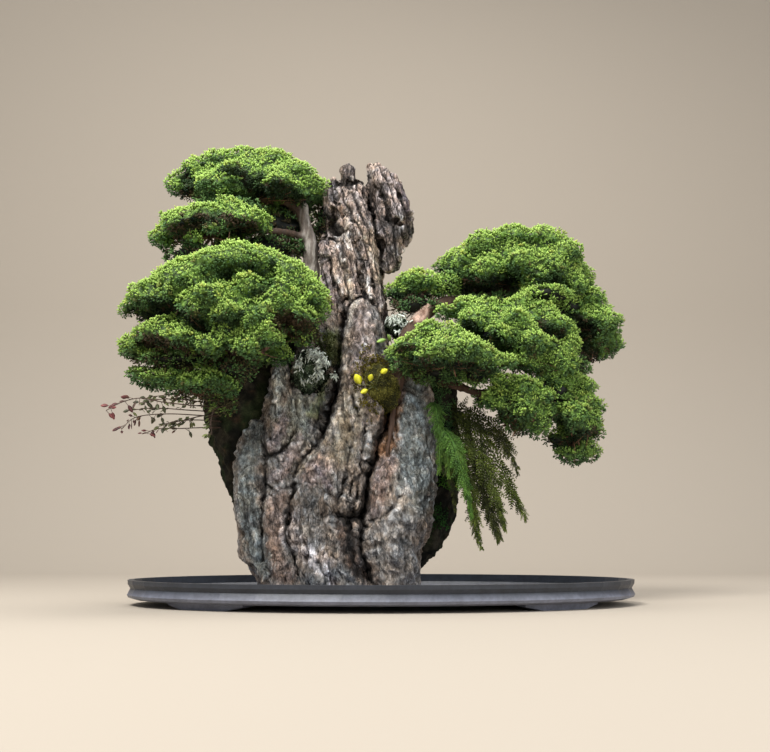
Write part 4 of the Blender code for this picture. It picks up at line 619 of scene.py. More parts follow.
# Loose growth between the pads: middle, half sizes, count of sprays, share of light, share of brown
FILLS = {
    "inner_leaves_right": (
        ((0.085, -0.050, 0.338), (0.048, 0.030, 0.016), 210, 0.10, 0.1),
        ((0.135, -0.066, 0.334), (0.026, 0.024, 0.016), 110, 0.20, 0.1),
        ((0.040, -0.070, 0.345), (0.026, 0.020, 0.012), 90, 0.15, 0.2),
        ((0.185, 0.020, 0.462), (0.070, 0.030, 0.012), 210, 0.15, 0.1),
        ((0.290, 0.010, 0.455), (0.024, 0.030, 0.018), 100, 0.35, 0.0),
        ((0.288, 0.000, 0.398), (0.012, 0.026, 0.034), 110, 0.25, 0.0),
        ((0.296, 0.010, 0.358), (0.030, 0.026, 0.014), 120, 0.15, 0.2),
        ((0.262, -0.040, 0.316), (0.016, 0.020, 0.026), 70, 0.30, 0.0),
        ((0.238, -0.040, 0.322), (0.036, 0.026, 0.012), 110, 0.20, 0.0),
        ((0.050, -0.020, 0.447), (0.036, 0.020, 0.013), 110, 0.03, 0.3),
        ((0.250, -0.030, 0.462), (0.044, 0.034, 0.013), 150, 0.50, 0.0),
        ((0.162, -0.020, 0.304), (0.026, 0.020, 0.012), 90, 0.12, 0.1),
        ((0.100, -0.005, 0.484), (0.022, 0.024, 0.018), 110, 0.40, 0.0),
    ),
    "inner_leaves_left": (
        ((-0.150, 0.020, 0.582), (0.045, 0.026, 0.030), 190, 0.06, 0.5),
        ((-0.092, 0.028, 0.578), (0.016, 0.022, 0.052), 150, 0.02, 0.6),
        ((-0.142, 0.016, 0.546), (0.030, 0.022, 0.013), 120, 0.06, 0.4),
        ((-0.136, 0.004, 0.352), (0.012, 0.022, 0.024), 70, 0.05, 0.3),
        ((-0.195, 0.005, 0.545), (0.070, 0.030, 0.020), 230, 0.08, 0.3),
        ((-0.285, -0.050, 0.516), (0.050, 0.026, 0.012), 110, 0.10, 0.2),
        ((-0.240, -0.020, 0.600), (0.060, 0.030, 0.014), 150, 0.12, 0.1),
        ((-0.300, -0.095, 0.350), (0.062, 0.030, 0.012), 220, 0.15, 0.4),
        ((-0.215, -0.090, 0.338), (0.034, 0.034, 0.018), 150, 0.10, 0.6),
    ),
    "loose_growth_left": (
        ((-0.268, -0.070, 0.300), (0.046, 0.030, 0.014), 60, 0.22, 0.6),
        ((-0.232, -0.060, 0.288), (0.018, 0.026, 0.018), 30, 0.20, 0.5),
    ),
}

# Moss on the stone and the banks: node, middle and half sizes as x, z, count, colour low and high
MOSS_PATCHES = (
    ("peat_right", (0.088, 0.262), (0.017, 0.060), 800, (0.034, 0.085, 0.028), (0.110, 0.230, 0.075)),
    ("peat_right", (0.098, 0.205), (0.018, 0.036), 460, (0.040, 0.120, 0.012), (0.130, 0.340, 0.040)),
    ("peat_right", (0.082, 0.126), (0.018, 0.018), 260, (0.012, 0.040, 0.010), (0.060, 0.190, 0.040)),
    ("stone", (-0.100, 0.340), (0.026, 0.032), 560, (0.004, 0.009, 0.003), (0.040, 0.070, 0.030)),
    ("stone", (-0.084, 0.378), (0.016, 0.026), 260, (0.030, 0.045, 0.014), (0.190, 0.230, 0.075)),
    ("stone", (-0.016, 0.320), (0.028, 0.042), 1100, (0.050, 0.042, 0.006), (0.240, 0.200, 0.024)),
)

# Mound of moss beside the cushion
MOUND_MIDDLE = (-0.011, -0.081, 0.321)
MOUND_HALF = (0.019, 0.016, 0.029)

# Groups of lichen threads: middle, half sizes, count
LICHEN = {
    "lichen_left": (
        ((-0.103, -0.066, 0.366), (0.010, 0.008, 0.008), 80),
        ((-0.090, -0.068, 0.356), (0.009, 0.008, 0.011), 110),
        ((-0.094, -0.066, 0.338), (0.006, 0.006, 0.008), 45),
        ((-0.070, -0.066, 0.333), (0.010, 0.004, 0.004), 20),
        ((-0.124, -0.062, 0.352), (0.006, 0.008, 0.012), 36),
        ((-0.113, -0.060, 0.330), (0.012, 0.006, 0.008), 30),
    ),
    "lichen_right": (
        ((0.020, -0.032, 0.424), (0.012, 0.010, 0.008), 100),
        ((0.040, -0.032, 0.416), (0.013, 0.010, 0.008), 100),
        ((0.030, -0.034, 0.404), (0.010, 0.008, 0.006), 50),
    ),
}

# Wood of the trees: grid size, seed, pale, dark and flake colour, and slot
BARKS = {
    "upper_tree": (0.0028, 301, (0.46, 0.42, 0.38), (0.17, 0.14, 0.12), (0.34, 0.28, 0.25), "bark_pale"),
    "lower_left_tree": (0.0024, 311, (0.17, 0.10, 0.07), (0.05, 0.028, 0.020),
                        (0.27, 0.19, 0.13), "bark_dark"),
    "right_tree": (0.0024, 321, (0.50, 0.34, 0.27), (0.17, 0.09, 0.06), (0.62, 0.50, 0.42), "bark_pink"),
}

# The small light green leaf by the right tree: its stalk, then each blade's root, direction and length
SMALL_STALK = ((0.016, -0.050, 0.378), (0.011, -0.078, 0.382), (0.004, -0.088, 0.383))
SMALL_ROOTS = ((0.004, -0.088, 0.383), (0.011, -0.078, 0.382))
SMALL_AXES = ((-0.75, -0.30, -0.20), (-0.35, -0.40, 0.75))
SMALL_LENGTHS = (0.016, 0.013)

# Directions that the noise leans in
GRADIENTS = np.array(
    [(x, y, z) for x in (-1, 0, 1) for y in (-1, 0, 1) for z in (-1, 0, 1) if abs(x) + abs(y) + abs(z) == 2]
    + [(1, 1, 0), (-1, 1, 0), (0, -1, 1), (0, -1, -1)],
    float,
)


def hashed(cells, seed):
    """Whole random numbers for rows of whole-number coordinates, the same on every run."""
    x, y, z = (cells[:, axis].astype(np.int64) & 0xFFFFF for axis in range(3))
    mix = (x * 73856093) ^ (y * 19349663) ^ (z * 83492791) ^ (seed * 2654435761 & 0xFFFFFFFF)
    mix = (mix ^ (mix >> 15)) * 2246822519 & 0xFFFFFFFF
    mix = (mix ^ (mix >> 13)) * 3266489917 & 0xFFFFFFFF
    return mix ^ (mix >> 16)


def drawn(cells, seed):
    """Random shares from 0 to 1 for rows of whole-number coordinates."""
    return hashed(cells, seed) / float(0xFFFFFFFF)


def waves(points, seed=0):
    """Smooth noise from about -1 to 1, with one wave to a unit."""
    base = np.floor(points).astype(np.int64)
    part = points - base
    ease = part**3 * (part * (part * 6 - 15) + 10)
    total = np.zeros(len(points))
    for corner in np.ndindex(2, 2, 2):
        lean = GRADIENTS[hashed(base + corner, seed) % 16]
        value = ((part - corner) * lean).sum(axis=1)
        total += value * np.prod(np.where(corner, ease, 1 - ease), axis=1)
    return total * 1.3


def layered(points, seed, octaves=3):
    """Noise with finer and weaker noise on top of it."""
    total = np.zeros(len(points))
    for k in range(octaves):
        total += waves(points * 2.03**k, seed + k) * 0.55**k
    return total


def clumps(points, seed=0):
    """Distances to the nearest and the next of scattered middles."""
    base = np.floor(points).astype(np.int64)
    near = np.full(len(points), 9.0)
    second = np.full(len(points), 9.0)
    for step in np.ndindex(3, 3, 3):
        cell = base + np.array(step) - 1
        middle = cell + np.stack([drawn(cell, seed + k) for k in range(3)], axis=1)
        far = np.linalg.norm(points - middle, axis=1)
        second = np.where(far < near, near, np.minimum(second, far))
        near = np.minimum(near, far)
    return near, second


def stepped(low, high, values):
    """0 below low, 1 above high, and a smooth step between."""
    share = np.clip((values - low) / (high - low), 0.0, 1.0)
    return share * share * (3.0 - 2.0 * share)


def mixed(first, second, share):
    """Colours between two colours, or two rows of them, by a share for each point."""
    first = np.asarray(first, float)
    return first + (np.asarray(second) - first) * np.asarray(share)[:, None]


def unit(rows):
    """Rows made one long."""
    return rows / np.maximum(np.linalg.norm(rows, axis=1), 1e-12)[:, None]


def points_of(mesh):
    """Places of a mesh's vertices, as rows."""
    found = np.empty(len(mesh.vertices) * 3)
    mesh.vertices.foreach_get("co", found)
    return found.reshape(-1, 3)


def normals_of(mesh):
    """Directions that a mesh's vertices face, as rows."""
    found = np.empty(len(mesh.vertices) * 3)
    mesh.vertex_normals.foreach_get("vector", found)
    return found.reshape(-1, 3)


def edges_of(mesh):
    """The two vertices of each edge, as rows."""
    found = np.empty(len(mesh.edges) * 2, np.int32)
    mesh.edges.foreach_get("vertices", found)
    return found.reshape(-1, 2)


def faces_of(mesh):
    """A mesh's faces as triangles."""
    mesh.calc_loop_triangles()
    found = np.empty(len(mesh.loop_triangles) * 3, np.int32)
    mesh.loop_triangles.foreach_get("vertices", found)
    return found.reshape(-1, 3)


def moved(mesh, points):
    """Gives a mesh's vertices new places."""
    mesh.vertices.foreach_set("co", points.ravel())
    mesh.update()
    return mesh


def evened(values, edges, rounds, pull=0.6):
    """Rows of values, each moved towards the mean of its neighbours, over and over."""
    size = len(values)
    count = np.maximum(np.bincount(edges.ravel(), minlength=size), 1)
    for _ in range(rounds):
        total = np.empty_like(values)
        for axis in range(values.shape[1]):
            column = values[:, axis]
            total[:, axis] = np.bincount(edges[:, 0], column[edges[:, 1]], size)
            total[:, axis] += np.bincount(edges[:, 1], column[edges[:, 0]], size)
        values = values + pull * (total / count[:, None] - values)
    return values


def hollows(mesh, rounds):
    """How far each point lies behind the evened skin round it, in metres, or in front as less than 0."""
    points = points_of(mesh)
    return ((evened(points, edges_of(mesh), rounds) - points) * normals_of(mesh)).sum(axis=1)


def changed(mesh, kind, **settings):
    """Mesh with one of Blender's modifiers applied."""
    holder = bpy.data.objects.new("holder", mesh)
    bpy.context.scene.collection.objects.link(holder)
    change = holder.modifiers.new("change", kind)
    for key, value in settings.items():
        setattr(change, key, value)
    bpy.context.view_layer.update()
    graph = bpy.context.evaluated_depsgraph_get()
    made = bpy.data.meshes.new_from_object(holder.evaluated_get(graph))
    bpy.data.objects.remove(holder)
    bpy.data.meshes.remove(mesh)
    return made


def skin_of(node, voxel, rounds):
    """Even mesh over the shape of a CAD node, with its facets smoothed away."""
    mesh = frame["nodes"][node].data.copy()
    shape = bmesh.new()
    shape.from_mesh(mesh)
    bmesh.ops.remove_doubles(shape, verts=shape.verts[:], dist=0.00001)
    shape.to_mesh(mesh)
    shape.free()
    skin = changed(mesh, "REMESH", mode="VOXEL", voxel_size=voxel)
    return moved(skin, evened(points_of(skin), edges_of(skin), rounds))


def mesh_from(name, points, faces):
    """Mesh of faces that all have the same number of corners."""
    mesh = bpy.data.meshes.new(name)
    mesh.vertices.add(len(points))
    mesh.vertices.foreach_set("co", np.asarray(points, float).ravel())
    mesh.loops.add(faces.size)
    mesh.loops.foreach_set("vertex_index", faces.ravel().astype(np.int32))
    mesh.polygons.add(len(faces))
    mesh.polygons.foreach_set("loop_start", np.arange(0, faces.size, faces.shape[1], dtype=np.int32))
    mesh.update(calc_edges=True)
    return mesh


def painted(mesh, colours):
    """Stores a colour for each point of a mesh."""
    rows = np.ones((len(colours), 4))
    rows[:, :3] = np.clip(colours, 0.0, 1.0)
    layer = mesh.color_attributes.new("paint", "FLOAT_COLOR", "POINT")
    layer.data.foreach_set("color", rows.ravel())
    return mesh


def joined(*parts):
    """Points, faces and colours of several shapes as one."""
    faces = []
    start = 0
    for part in parts:
        faces.append(part[1] + start)
        start += len(part[0])
    points = np.concatenate([part[0] for part in parts])
    return points, np.concatenate(faces), np.concatenate([part[2] for part in parts])


def piece(name, mesh, material, slot, *nodes, sharp=None):
    """Object of the model, which rides on the body and may stand for CAD nodes."""
    mesh.name = name
    mesh.materials.clear()
    mesh.materials.append(material)
    mesh.shade_smooth()
    if sharp is not None:
        mesh.set_sharp_from_angle(angle=math.radians(sharp))
    obj = bpy.data.objects.new(name, mesh)
    bpy.context.scene.collection.objects.link(obj)
    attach(obj, "root")
    if nodes:
        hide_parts(*nodes)


def built(name, parts, material, slot, *nodes):
    """Piece made of parts that each have points, triangles and colours."""
    points, faces, colours = joined(*parts)
    piece(name, painted(mesh_from(name, points, faces), colours), material, slot, *nodes)


def node(tree, kind, settings=(), **inputs):
    """Adds a shader node and sets or links its inputs, with _ for a space in their names."""
    made = tree.nodes.new("ShaderNode" + kind)
    for key, value in dict(settings).items():
        setattr(made, key, value)
    for key, value in inputs.items():
        socket = made.inputs[key.replace("_", " ")]
        if isinstance(value, bpy.types.NodeSocket):
            tree.links.new(value, socket)
        else:
            socket.default_value = value
    return made


def ramp(tree, share, *stops):
    """Colour ramp with stops given as place and grey level."""
    made = node(tree, "ValToRGB", Fac=share)
    line = made.color_ramp.elements
    while len(line) < len(stops):
        line.new(0.5)
    for stop, (place, level) in zip(line, stops):
        stop.position = place
        stop.color = (level, level, level, 1.0)
    return made.outputs["Color"]


def multiplied(tree, first, second, share):
    """Two colours multiplied, by a share of the second."""
    made = node(tree, "MixRGB", {"blend_type": "MULTIPLY"}, Fac=share, Color1=first, Color2=second)
    return made.outputs["Color"]


def finish(name, rough, grain, spread, relief, depth, stretch=(1.0, 1.0, 1.0), lean=0.0, specular=0.5):
    """Material that takes its colour from the paint, varied by a grain, with a fine relief.

    grain and relief are in waves to a metre, spread is how far the grain lightens and darkens,
    depth is the relief's height in metres, and stretch and lean turn both along the strata.
    """
    material = bpy.data.materials.new(name)
    material.use_nodes = True
    tree = material.node_tree
    shader = tree.nodes["Principled BSDF"]
    shader.inputs["Roughness"].default_value = rough
    shader.inputs["Specular IOR Level"].default_value = specular
    place = node(tree, "TexCoord").outputs["Object"]
    place = node(tree, "Mapping", Vector=place, Rotation=(0.0, lean, 0.0), Scale=stretch).outputs["Vector"]
    paint = node(tree, "Attribute", {"attribute_name": "paint"}).outputs["Color"]
    coarse = node(tree, "TexNoise", Vector=place, Scale=grain, Detail=5.0, Roughness=0.6).outputs["Fac"]
    level = ramp(tree, coarse, (0.32, 1.0 - spread), (0.68, 1.0 + spread))
    fine = node(tree, "TexNoise", Vector=place, Scale=grain * 4.3, Detail=4.0, Roughness=0.65).outputs["Fac"]
    speck = ramp(tree, fine, (0.35, 1.0 - spread * 0.8), (0.65, 1.0 + spread * 0.8))
    colour = multiplied(tree, paint, multiplied(tree, level, speck, 1.0), 1.0)
    tree.links.new(colour, shader.inputs["Base Color"])
    bumps = node(tree, "TexNoise", Vector=place, Scale=relief, Detail=6.0, Roughness=0.62).outputs["Fac"]
    bump = node(tree, "Bump", Height=bumps, Distance=depth, Strength=1.0)
    tree.links.new(bump.outputs["Normal"], shader.inputs["Normal"])
    return material


def stage_object(name, mesh, colour):
    """Part of the studio, which isn't part of the model."""
    material = bpy.data.materials.new(name)
    material.use_nodes = True
    shader = material.node_tree.nodes["Principled BSDF"]
    shader.inputs["Base Color"].default_value = (*colour, 1.0)
    shader.inputs["Roughness"].default_value = 0.9
    mesh.materials.append(material)
    mesh.shade_smooth()
    obj = bpy.data.objects.new(name, mesh)
    bpy.context.scene.collection.objects.link(obj)


def light(name, place, size, power, colour):
    """Square soft light that faces the middle of the planting."""
    lamp = bpy.data.lights.new(name, "AREA")
    lamp.shape = "SQUARE"
    lamp.size = size
    lamp.energy = power
    lamp.color = colour
    obj = bpy.data.objects.new(name, lamp)
    obj.location = place
    obj.rotation_euler = (Vector(LIT_MIDDLE) - Vector(place)).to_track_quat("-Z", "Y").to_euler()
    bpy.context.scene.collection.objects.link(obj)


def studio():
    """Camera, soft lights, and a pale floor that curves up into a backdrop."""
    camera = bpy.data.cameras.new("camera")
    camera.sensor_width = 36.0
    camera.lens = CAMERA_LENS
    camera.clip_end = 50.0
    holder = bpy.data.objects.new("camera", camera)
    holder.location = CAMERA_PLACE
    aim = Vector((
        math.sin(CAMERA_RIGHT) * math.cos(CAMERA_UP),
        math.cos(CAMERA_RIGHT) * math.cos(CAMERA_UP),
        math.sin(CAMERA_UP),
    ))
    holder.rotation_euler = aim.to_track_quat("-Z", "Y").to_euler()
    bpy.context.scene.collection.objects.link(holder)
    bpy.context.scene.camera = holder

    rows = [(-6.0, 0.0), (1.2, 0.0)]
    rows += [(1.2 + 0.9 * math.sin(a), 0.9 - 0.9 * math.cos(a)) for a in np.linspace(0.1, math.pi / 2, 14)]
    rows.append((2.1, 6.0))
    points = [(x, y, z) for y, z in rows for x in (-7.0, 7.0)]
    faces = [(2 * k, 2 * k + 1, 2 * k + 3, 2 * k + 2) for k in range(len(rows) - 1)]
    stage_object("floor", mesh_from("floor", points, np.array(faces)), FLOOR_COLOUR)

    for name, row in LIGHTS.items():
        light(name, *row)
    world = bpy.data.worlds.new("studio")
    world.use_nodes = True
    background = world.node_tree.nodes["Background"]
    background.inputs["Color"].default_value = WORLD_COLOUR
    background.inputs["Strength"].default_value = WORLD_STRENGTH
    bpy.context.scene.world = world
    bpy.context.scene.view_settings.view_transform = "Standard"


def strata(points):
    """Places of points across and along the stone's leaning layers, and from front to back."""
    x, y, z = points.T
    across = x * math.cos(STRATA_LEAN) + z * math.sin(STRATA_LEAN)
    along = z * math.cos(STRATA_LEAN) - x * math.sin(STRATA_LEAN)
    return across, along, y


def stretched(layers, wide, deep, long):
    """Places in the layers, scaled for noise with these waves to a metre across, deep and along."""
    across, along, depth = layers
    return np.stack([across * wide, depth * deep, along * long], axis=1)


def along_stroke(spots, rows):
    """For x, z spots, how far off a stroke they are in half widths, and its last value beside them."""
    best = np.full(len(spots), 99.0)
    value = np.zeros(len(spots))
    for first, second in zip(rows, rows[1:]):
        start = np.array(first[:2])
        span = np.array(second[:2]) - start
        share = np.clip((spots - start) @ span / (span @ span), 0.0, 1.0)
        wide = first[2] + (second[2] - first[2]) * share
        ratio = np.linalg.norm(spots - start - share[:, None] * span, axis=1) / wide
        value = np.where(ratio < best, first[3] + (second[3] - first[3]) * share, value)
        best = np.minimum(best, ratio)
    return best, value


def face_spots(points, normals):
    """Slightly wavy x, z places of points, and how far each belongs to the stone's front."""
    wobble = np.stack([waves(points * 95, 81), waves(points * 95, 82)], axis=1)
    front = stepped(0.45, -0.10, normals[:, 1]) * stepped(0.030, 0.005, points[:, 1])
    wander = np.stack([waves(points * 36, 83), waves(points * 36, 84)], axis=1)
    return points[:, [0, 2]] + 0.0018 * wobble + 0.0026 * wander, front


def cleft_depths(spots):
    """How deep the gaps of the stone's front are at x, z spots."""
    sunk = np.zeros(len(spots))
    level = np.stack([spots[:, 0], spots[:, 0] * 0.0, spots[:, 1]], axis=1)
    ragged = np.maximum(1.05 + 0.75 * waves(level * 120, 87) + 0.60 * waves(level * 42, 88), 0.4)
    for rows in CLEFTS.values():
        ratio, depth = along_stroke(spots, rows)
        sunk = np.maximum(sunk, depth * stepped(1.0, 0.25, ratio * ragged / CLEFT_SPREAD))
    return sunk


def carved(mesh):
    """Stone with the gaps and bulges of its front cut in and its round knob added, on an even mesh again."""
    points = points_of(mesh)
    spots, front = face_spots(points, normals_of(mesh))
    raised = np.zeros(len(points))
    for rows in BULGES.values():
        ratio, height = along_stroke(spots, rows)
        raised = np.maximum(raised, height * stepped(1.0, 0.0, ratio))
    points[:, 1] += (cleft_depths(spots) * CLEFT_DEEPER - raised) * front
    beside = (np.abs(points[:, 0] - KNOB_MIDDLE[0]) < KNOB_REACH) & (points[:, 2] > KNOB_SEAT)
    points[beside, 2] = KNOB_SEAT + (points[beside, 2] - KNOB_SEAT) * KNOB_SQUASH
    moved(mesh, points)
    shape = bmesh.new()
    shape.from_mesh(mesh)
    ball = Matrix.Translation(KNOB_MIDDLE) @ Matrix.Diagonal((*KNOB_HALF, 1.0))
    bmesh.ops.create_icosphere(shape, subdivisions=3, radius=1.0, matrix=ball)
    shape.to_mesh(mesh)
    shape.free()
    skin = changed(mesh, "REMESH", mode="VOXEL", voxel_size=STONE_FINE_VOXEL)
    return moved(skin, evened(points_of(skin), edges_of(skin), 1))


def plates_of(points):
    """Relief of the spire's broken leaning plates, and a random tone for each plate."""
    layers = strata(points)
    across, along, depth = layers
    bend = waves(stretched(layers, 16, 22, 9), 3)
    bend += 0.35 * waves(stretched(layers, 60, 60, 40), 4)
    plate = (across + depth * 0.35) / PLATE + bend * 0.9
    number = np.floor(plate)
    inside = plate - number
    none = number * 0
    broken = along / PLATE_LENGTH + drawn(np.stack([number, none + 3, none], axis=1), 5) * 7.0 + bend * 0.45
    keys = np.stack([number, np.floor(broken), none], axis=1)
    part = broken - np.floor(broken)
    level = drawn(keys, 9) * 2.0 - 1.0
    lean = (drawn(keys, 10) * 2.0 - 1.0) * (inside - 0.5) + (drawn(keys, 12) * 2.0 - 1.0) * (part - 0.5)
    groove = stepped(0.24, 0.0, np.minimum(inside, 1.0 - inside))
    crag = layered(stretched(layers, 95, 95, 42), 11, 3)
    relief = 0.0032 * level + 0.0034 * lean - 0.0048 * groove + 0.0030 * crag
    return relief, drawn(keys, 21), groove


def fins_of(points):
    """Relief of the smoother fins and slabs below the spire, and how far each point is in a crack."""
    layers = strata(points)
    ridge = 1.0 - 2.0 * np.abs(waves(stretched(layers, 26, 26, 7), 31))
    fluted = 1.0 - 2.0 * np.abs(waves(stretched(layers, 90, 90, 16), 33))
    crag = 1.0 - 2.0 * np.abs(waves(stretched(layers, 74, 74, 52), 35))
    lumps = layered(stretched(layers, 48, 48, 30), 37, 3)
    fine = layered(stretched(layers, 190, 190, 90), 39, 2)
    seam = np.abs(waves(stretched(layers, 34, 30, 6), 41))
    where = stepped(-0.1, 0.35, waves(stretched(layers, 12, 12, 8), 43))
    crack = stepped(0.08, 0.0, seam) * where
    relief = 0.0014 * ridge + 0.0022 * fluted + 0.0028 * crag + 0.0020 * lumps + 0.0018 * fine
    return relief - 0.0045 * crack, crack


def laid(spots, wide, line, edge):
    """Share of a stroke's colour at x, z spots."""
    ratio, _ = along_stroke(spots, [(*spot, wide, 0.0) for spot in line])
    return stepped(1.25, 0.45, ratio * edge)


def rock_colours(mesh, spire, tone, groove):
    """Colours of the stone: its base, the strokes of its front, pale crests of painted highlight and dark
    hollows of painted shade.
    """
    points = points_of(mesh)
    deep = hollows(mesh, 5)
    broad = hollows(mesh, 50)
    mottle = layered(points * 85, 51, 3)
    fleck = layered(points * 210, 53, 2)
    patch = layered(points * 17, 55, 2)
    streak = layered(stretched(strata(points), 130, 130, 17), 61, 3)
    lower = mixed(ROCK["brown"], ROCK["grey"], stepped(-0.35, 0.45, patch + streak * 0.5))
    upper = mixed(ROCK["face"], ROCK["facet"], stepped(0.35, 0.90, tone + streak * 0.25))
    upper = mixed(upper, ROCK["block"], stepped(0.40, 0.05, tone + streak * 0.2) * 0.8)
    colour = mixed(lower, upper, spire)
    spots, front = face_spots(points, normals_of(mesh))
    edge = 1.0 + 0.35 * mottle + 0.25 * fleck
    rusty = np.zeros(len(points))
    for name, wide, strength, *line in STROKES:
        share = laid(spots, wide, line, edge) * strength * front
        colour = mixed(colour, ROCK[name], share)
        if name == "rust":
            rusty = np.maximum(rusty, share)
    colour = mixed(colour, colour * 0.50, stepped(0.10, 0.70, mottle))
    bright = stepped(0.20, 0.90, -mottle + 0.4 * streak)
    colour = mixed(colour, np.minimum(colour * 1.8 + 0.03, 0.8), bright * 0.75)
    colour = mixed(colour, ROCK["pale"], stepped(0.45, 0.90, streak + 0.3 * fleck) * (0.45 + 0.35 * spire))
    colour = mixed(colour, ROCK["dark"], stepped(0.35, 0.85, -streak - 0.3 * fleck) * (0.45 + 0.35 * spire))
    # Painted highlight: convex crests are made paler.
    crest = stepped(-0.0002, -0.0015, deep)
    colour = mixed(colour, np.minimum(colour * 1.7 + 0.04, 0.8), crest * 0.75)
    # Painted shade: clefts, hollows and the grooves between plates go towards near black, mixed with the
    # cracks' own dark, and towards a dark rust where rust lies.
    gap = stepped(0.0020, 0.0085, cleft_depths(spots)) * front
    crevice_shade = np.clip(stepped(0.0003, 0.0018, deep) + stepped(0.0018, 0.0070, broad), 0.0, 1.0)
    crevice_shade = np.maximum(crevice_shade * 0.85, np.maximum(gap * 0.92, groove * 0.80))
    colour = mixed(colour, mixed(ROCK["dark"], RUSTY_HOLLOW, rusty), crevice_shade)
    # Pale strokes laid over the painted shade; the pale moss among them is partly painted light.
    for name, wide, strength, *line in LATE_STROKES:
        shaded = np.array(ROCK[name]) * (1.0 - 0.55 * stepped(0.0, 0.6, mottle))[:, None]
        colour = mixed(colour, shaded, laid(spots, wide, line, edge) * strength * front)
    return colour


def rock_finish():
    """Stone with specks, warm and cool patches, and fine cracks, most where the mesh is craggy."""
    material = finish("rock", 0.86, 150.0, 0.34, 420.0, 0.0030, (1.0, 1.0, 0.45), STRATA_LEAN, 0.3)
    lean = (0.0, STRATA_LEAN, 0.0)
    tree = material.node_tree
    shader = tree.nodes["Principled BSDF"]
    paint = shader.inputs["Base Color"].links[0].from_socket
    spot = node(tree, "TexCoord").outputs["Object"]
    drift = node(tree, "TexNoise", Vector=spot, Scale=70.0, Detail=3.0).outputs["Color"]
    shift = node(tree, "VectorMath", {"operation": "MULTIPLY_ADD"})
    tree.links.new(drift, shift.inputs[0])
    shift.inputs[1].default_value = (0.014, 0.014, 0.014)
    tree.links.new(spot, shift.inputs[2])
    place = node(tree, "Mapping", Vector=shift.outputs[0], Rotation=lean, Scale=(1.0, 1.0, 0.26)).outputs[0]
    cells = node(tree, "TexVoronoi", {"feature": "DISTANCE_TO_EDGE"}, Vector=place, Scale=150.0)
    line = ramp(tree, cells.outputs["Distance"], (0.00, 0.10), (0.09, 1.0))
    crag = node(tree, "Attribute", {"attribute_name": "crag"}).outputs["Fac"]
    colour = multiplied(tree, paint, line, crag)

    place = node(tree, "Mapping", Vector=spot, Rotation=lean, Scale=(1.0, 1.0, 0.50)).outputs[0]
    wander = node(tree, "TexNoise", Vector=place, Scale=62.0, Detail=5.0, Roughness=0.6).outputs["Fac"]
    crack = node(tree, "Math", {"operation": "SUBTRACT"})
    tree.links.new(wander, crack.inputs[0])
    crack.inputs[1].default_value = 0.5
    crack = node(tree, "Math", {"operation": "ABSOLUTE"}, Value=crack.outputs[0])
    thin = ramp(tree, crack.outputs[0], (0.0, 0.22), (0.018, 1.0))
    colour = multiplied(tree, colour, thin, 0.8)
    grit = node(tree, "TexNoise", Vector=place, Scale=400.0, Detail=3.0, Roughness=0.7).outputs["Fac"]
    colour = multiplied(tree, colour, ramp(tree, grit, (0.38, 0.50), (0.62, 1.55)), 0.70)

    hue = node(tree, "TexNoise", Vector=spot, Scale=48.0, Detail=4.0, Roughness=0.65).outputs["Fac"]
    patches = node(tree, "ValToRGB", Fac=hue)
    for stop, (level, tint) in zip(patches.color_ramp.elements, ROCK_HUES):
        stop.position = level
        stop.color = (*tint, 1.0)
    colour = multiplied(tree, colour, patches.outputs["Color"], 1.0)
    tree.links.new(colour, shader.inputs["Base Color"])

    first = shader.inputs["Normal"].links[0].from_socket
    power = node(tree, "Math", {"operation": "MULTIPLY"})
    tree.links.new(crag, power.inputs[0])
    power.inputs[1].default_value = 0.9
    second = node(tree, "Bump", Height=line, Distance=0.0022, Strength=power.outputs[0], Normal=first)
    third = node(tree, "Bump", Height=thin, Distance=0.0018, Strength=0.8, Normal=second.outputs[0])
    tree.links.new(third.outputs["Normal"], shader.inputs["Normal"])
    return material


def stone():
    """Craggy stone: broken leaning plates on the spire and cracked fins and slabs lower down."""
    mesh = carved(skin_of("stone", STONE_VOXEL, 3))
    points = points_of(mesh)
    x, y, z = points.T
    fin = stepped(0.034, 0.026, np.abs(x + 0.030)) * stepped(0.462, 0.450, z) * stepped(-0.045, -0.055, y)
    spire = stepped(SPIRE_FOOT, SPIRE_FOOT + 0.030, z) * (1.0 - fin)
    plates, tone, groove = plates_of(points)
    relief, crack = fins_of(points)
    relief += (plates - relief) * spire
    groove = crack + (groove - crack) * spire
    calm = stepped(1.05, 1.30, np.linalg.norm((points - KNOB_MIDDLE) / np.array(KNOB_HALF), axis=1))
    relief = relief * (0.30 + 0.70 * calm)
    groove = groove * calm
    moved(mesh, points + normals_of(mesh) * (relief * stepped(0.0150, 0.0260, z))[:, None])
    painted(mesh, rock_colours(mesh, spire, tone, groove))
    crag = mesh.attributes.new("crag", "FLOAT", "POINT")
    rough = stepped(-0.2, 0.5, layered(points * 14, 71, 2))
    crag.data.foreach_set("value", np.clip(0.25 + 0.45 * rough + 0.5 * spire, 0.0, 0.9))
    ratio = min(1.0, STONE_FACES / len(faces_of(mesh)))
    mesh = changed(mesh, "DECIMATE", ratio=ratio)
    piece("stone_weathered", mesh, rock_finish(), "rock", "stone", sharp=40.0)


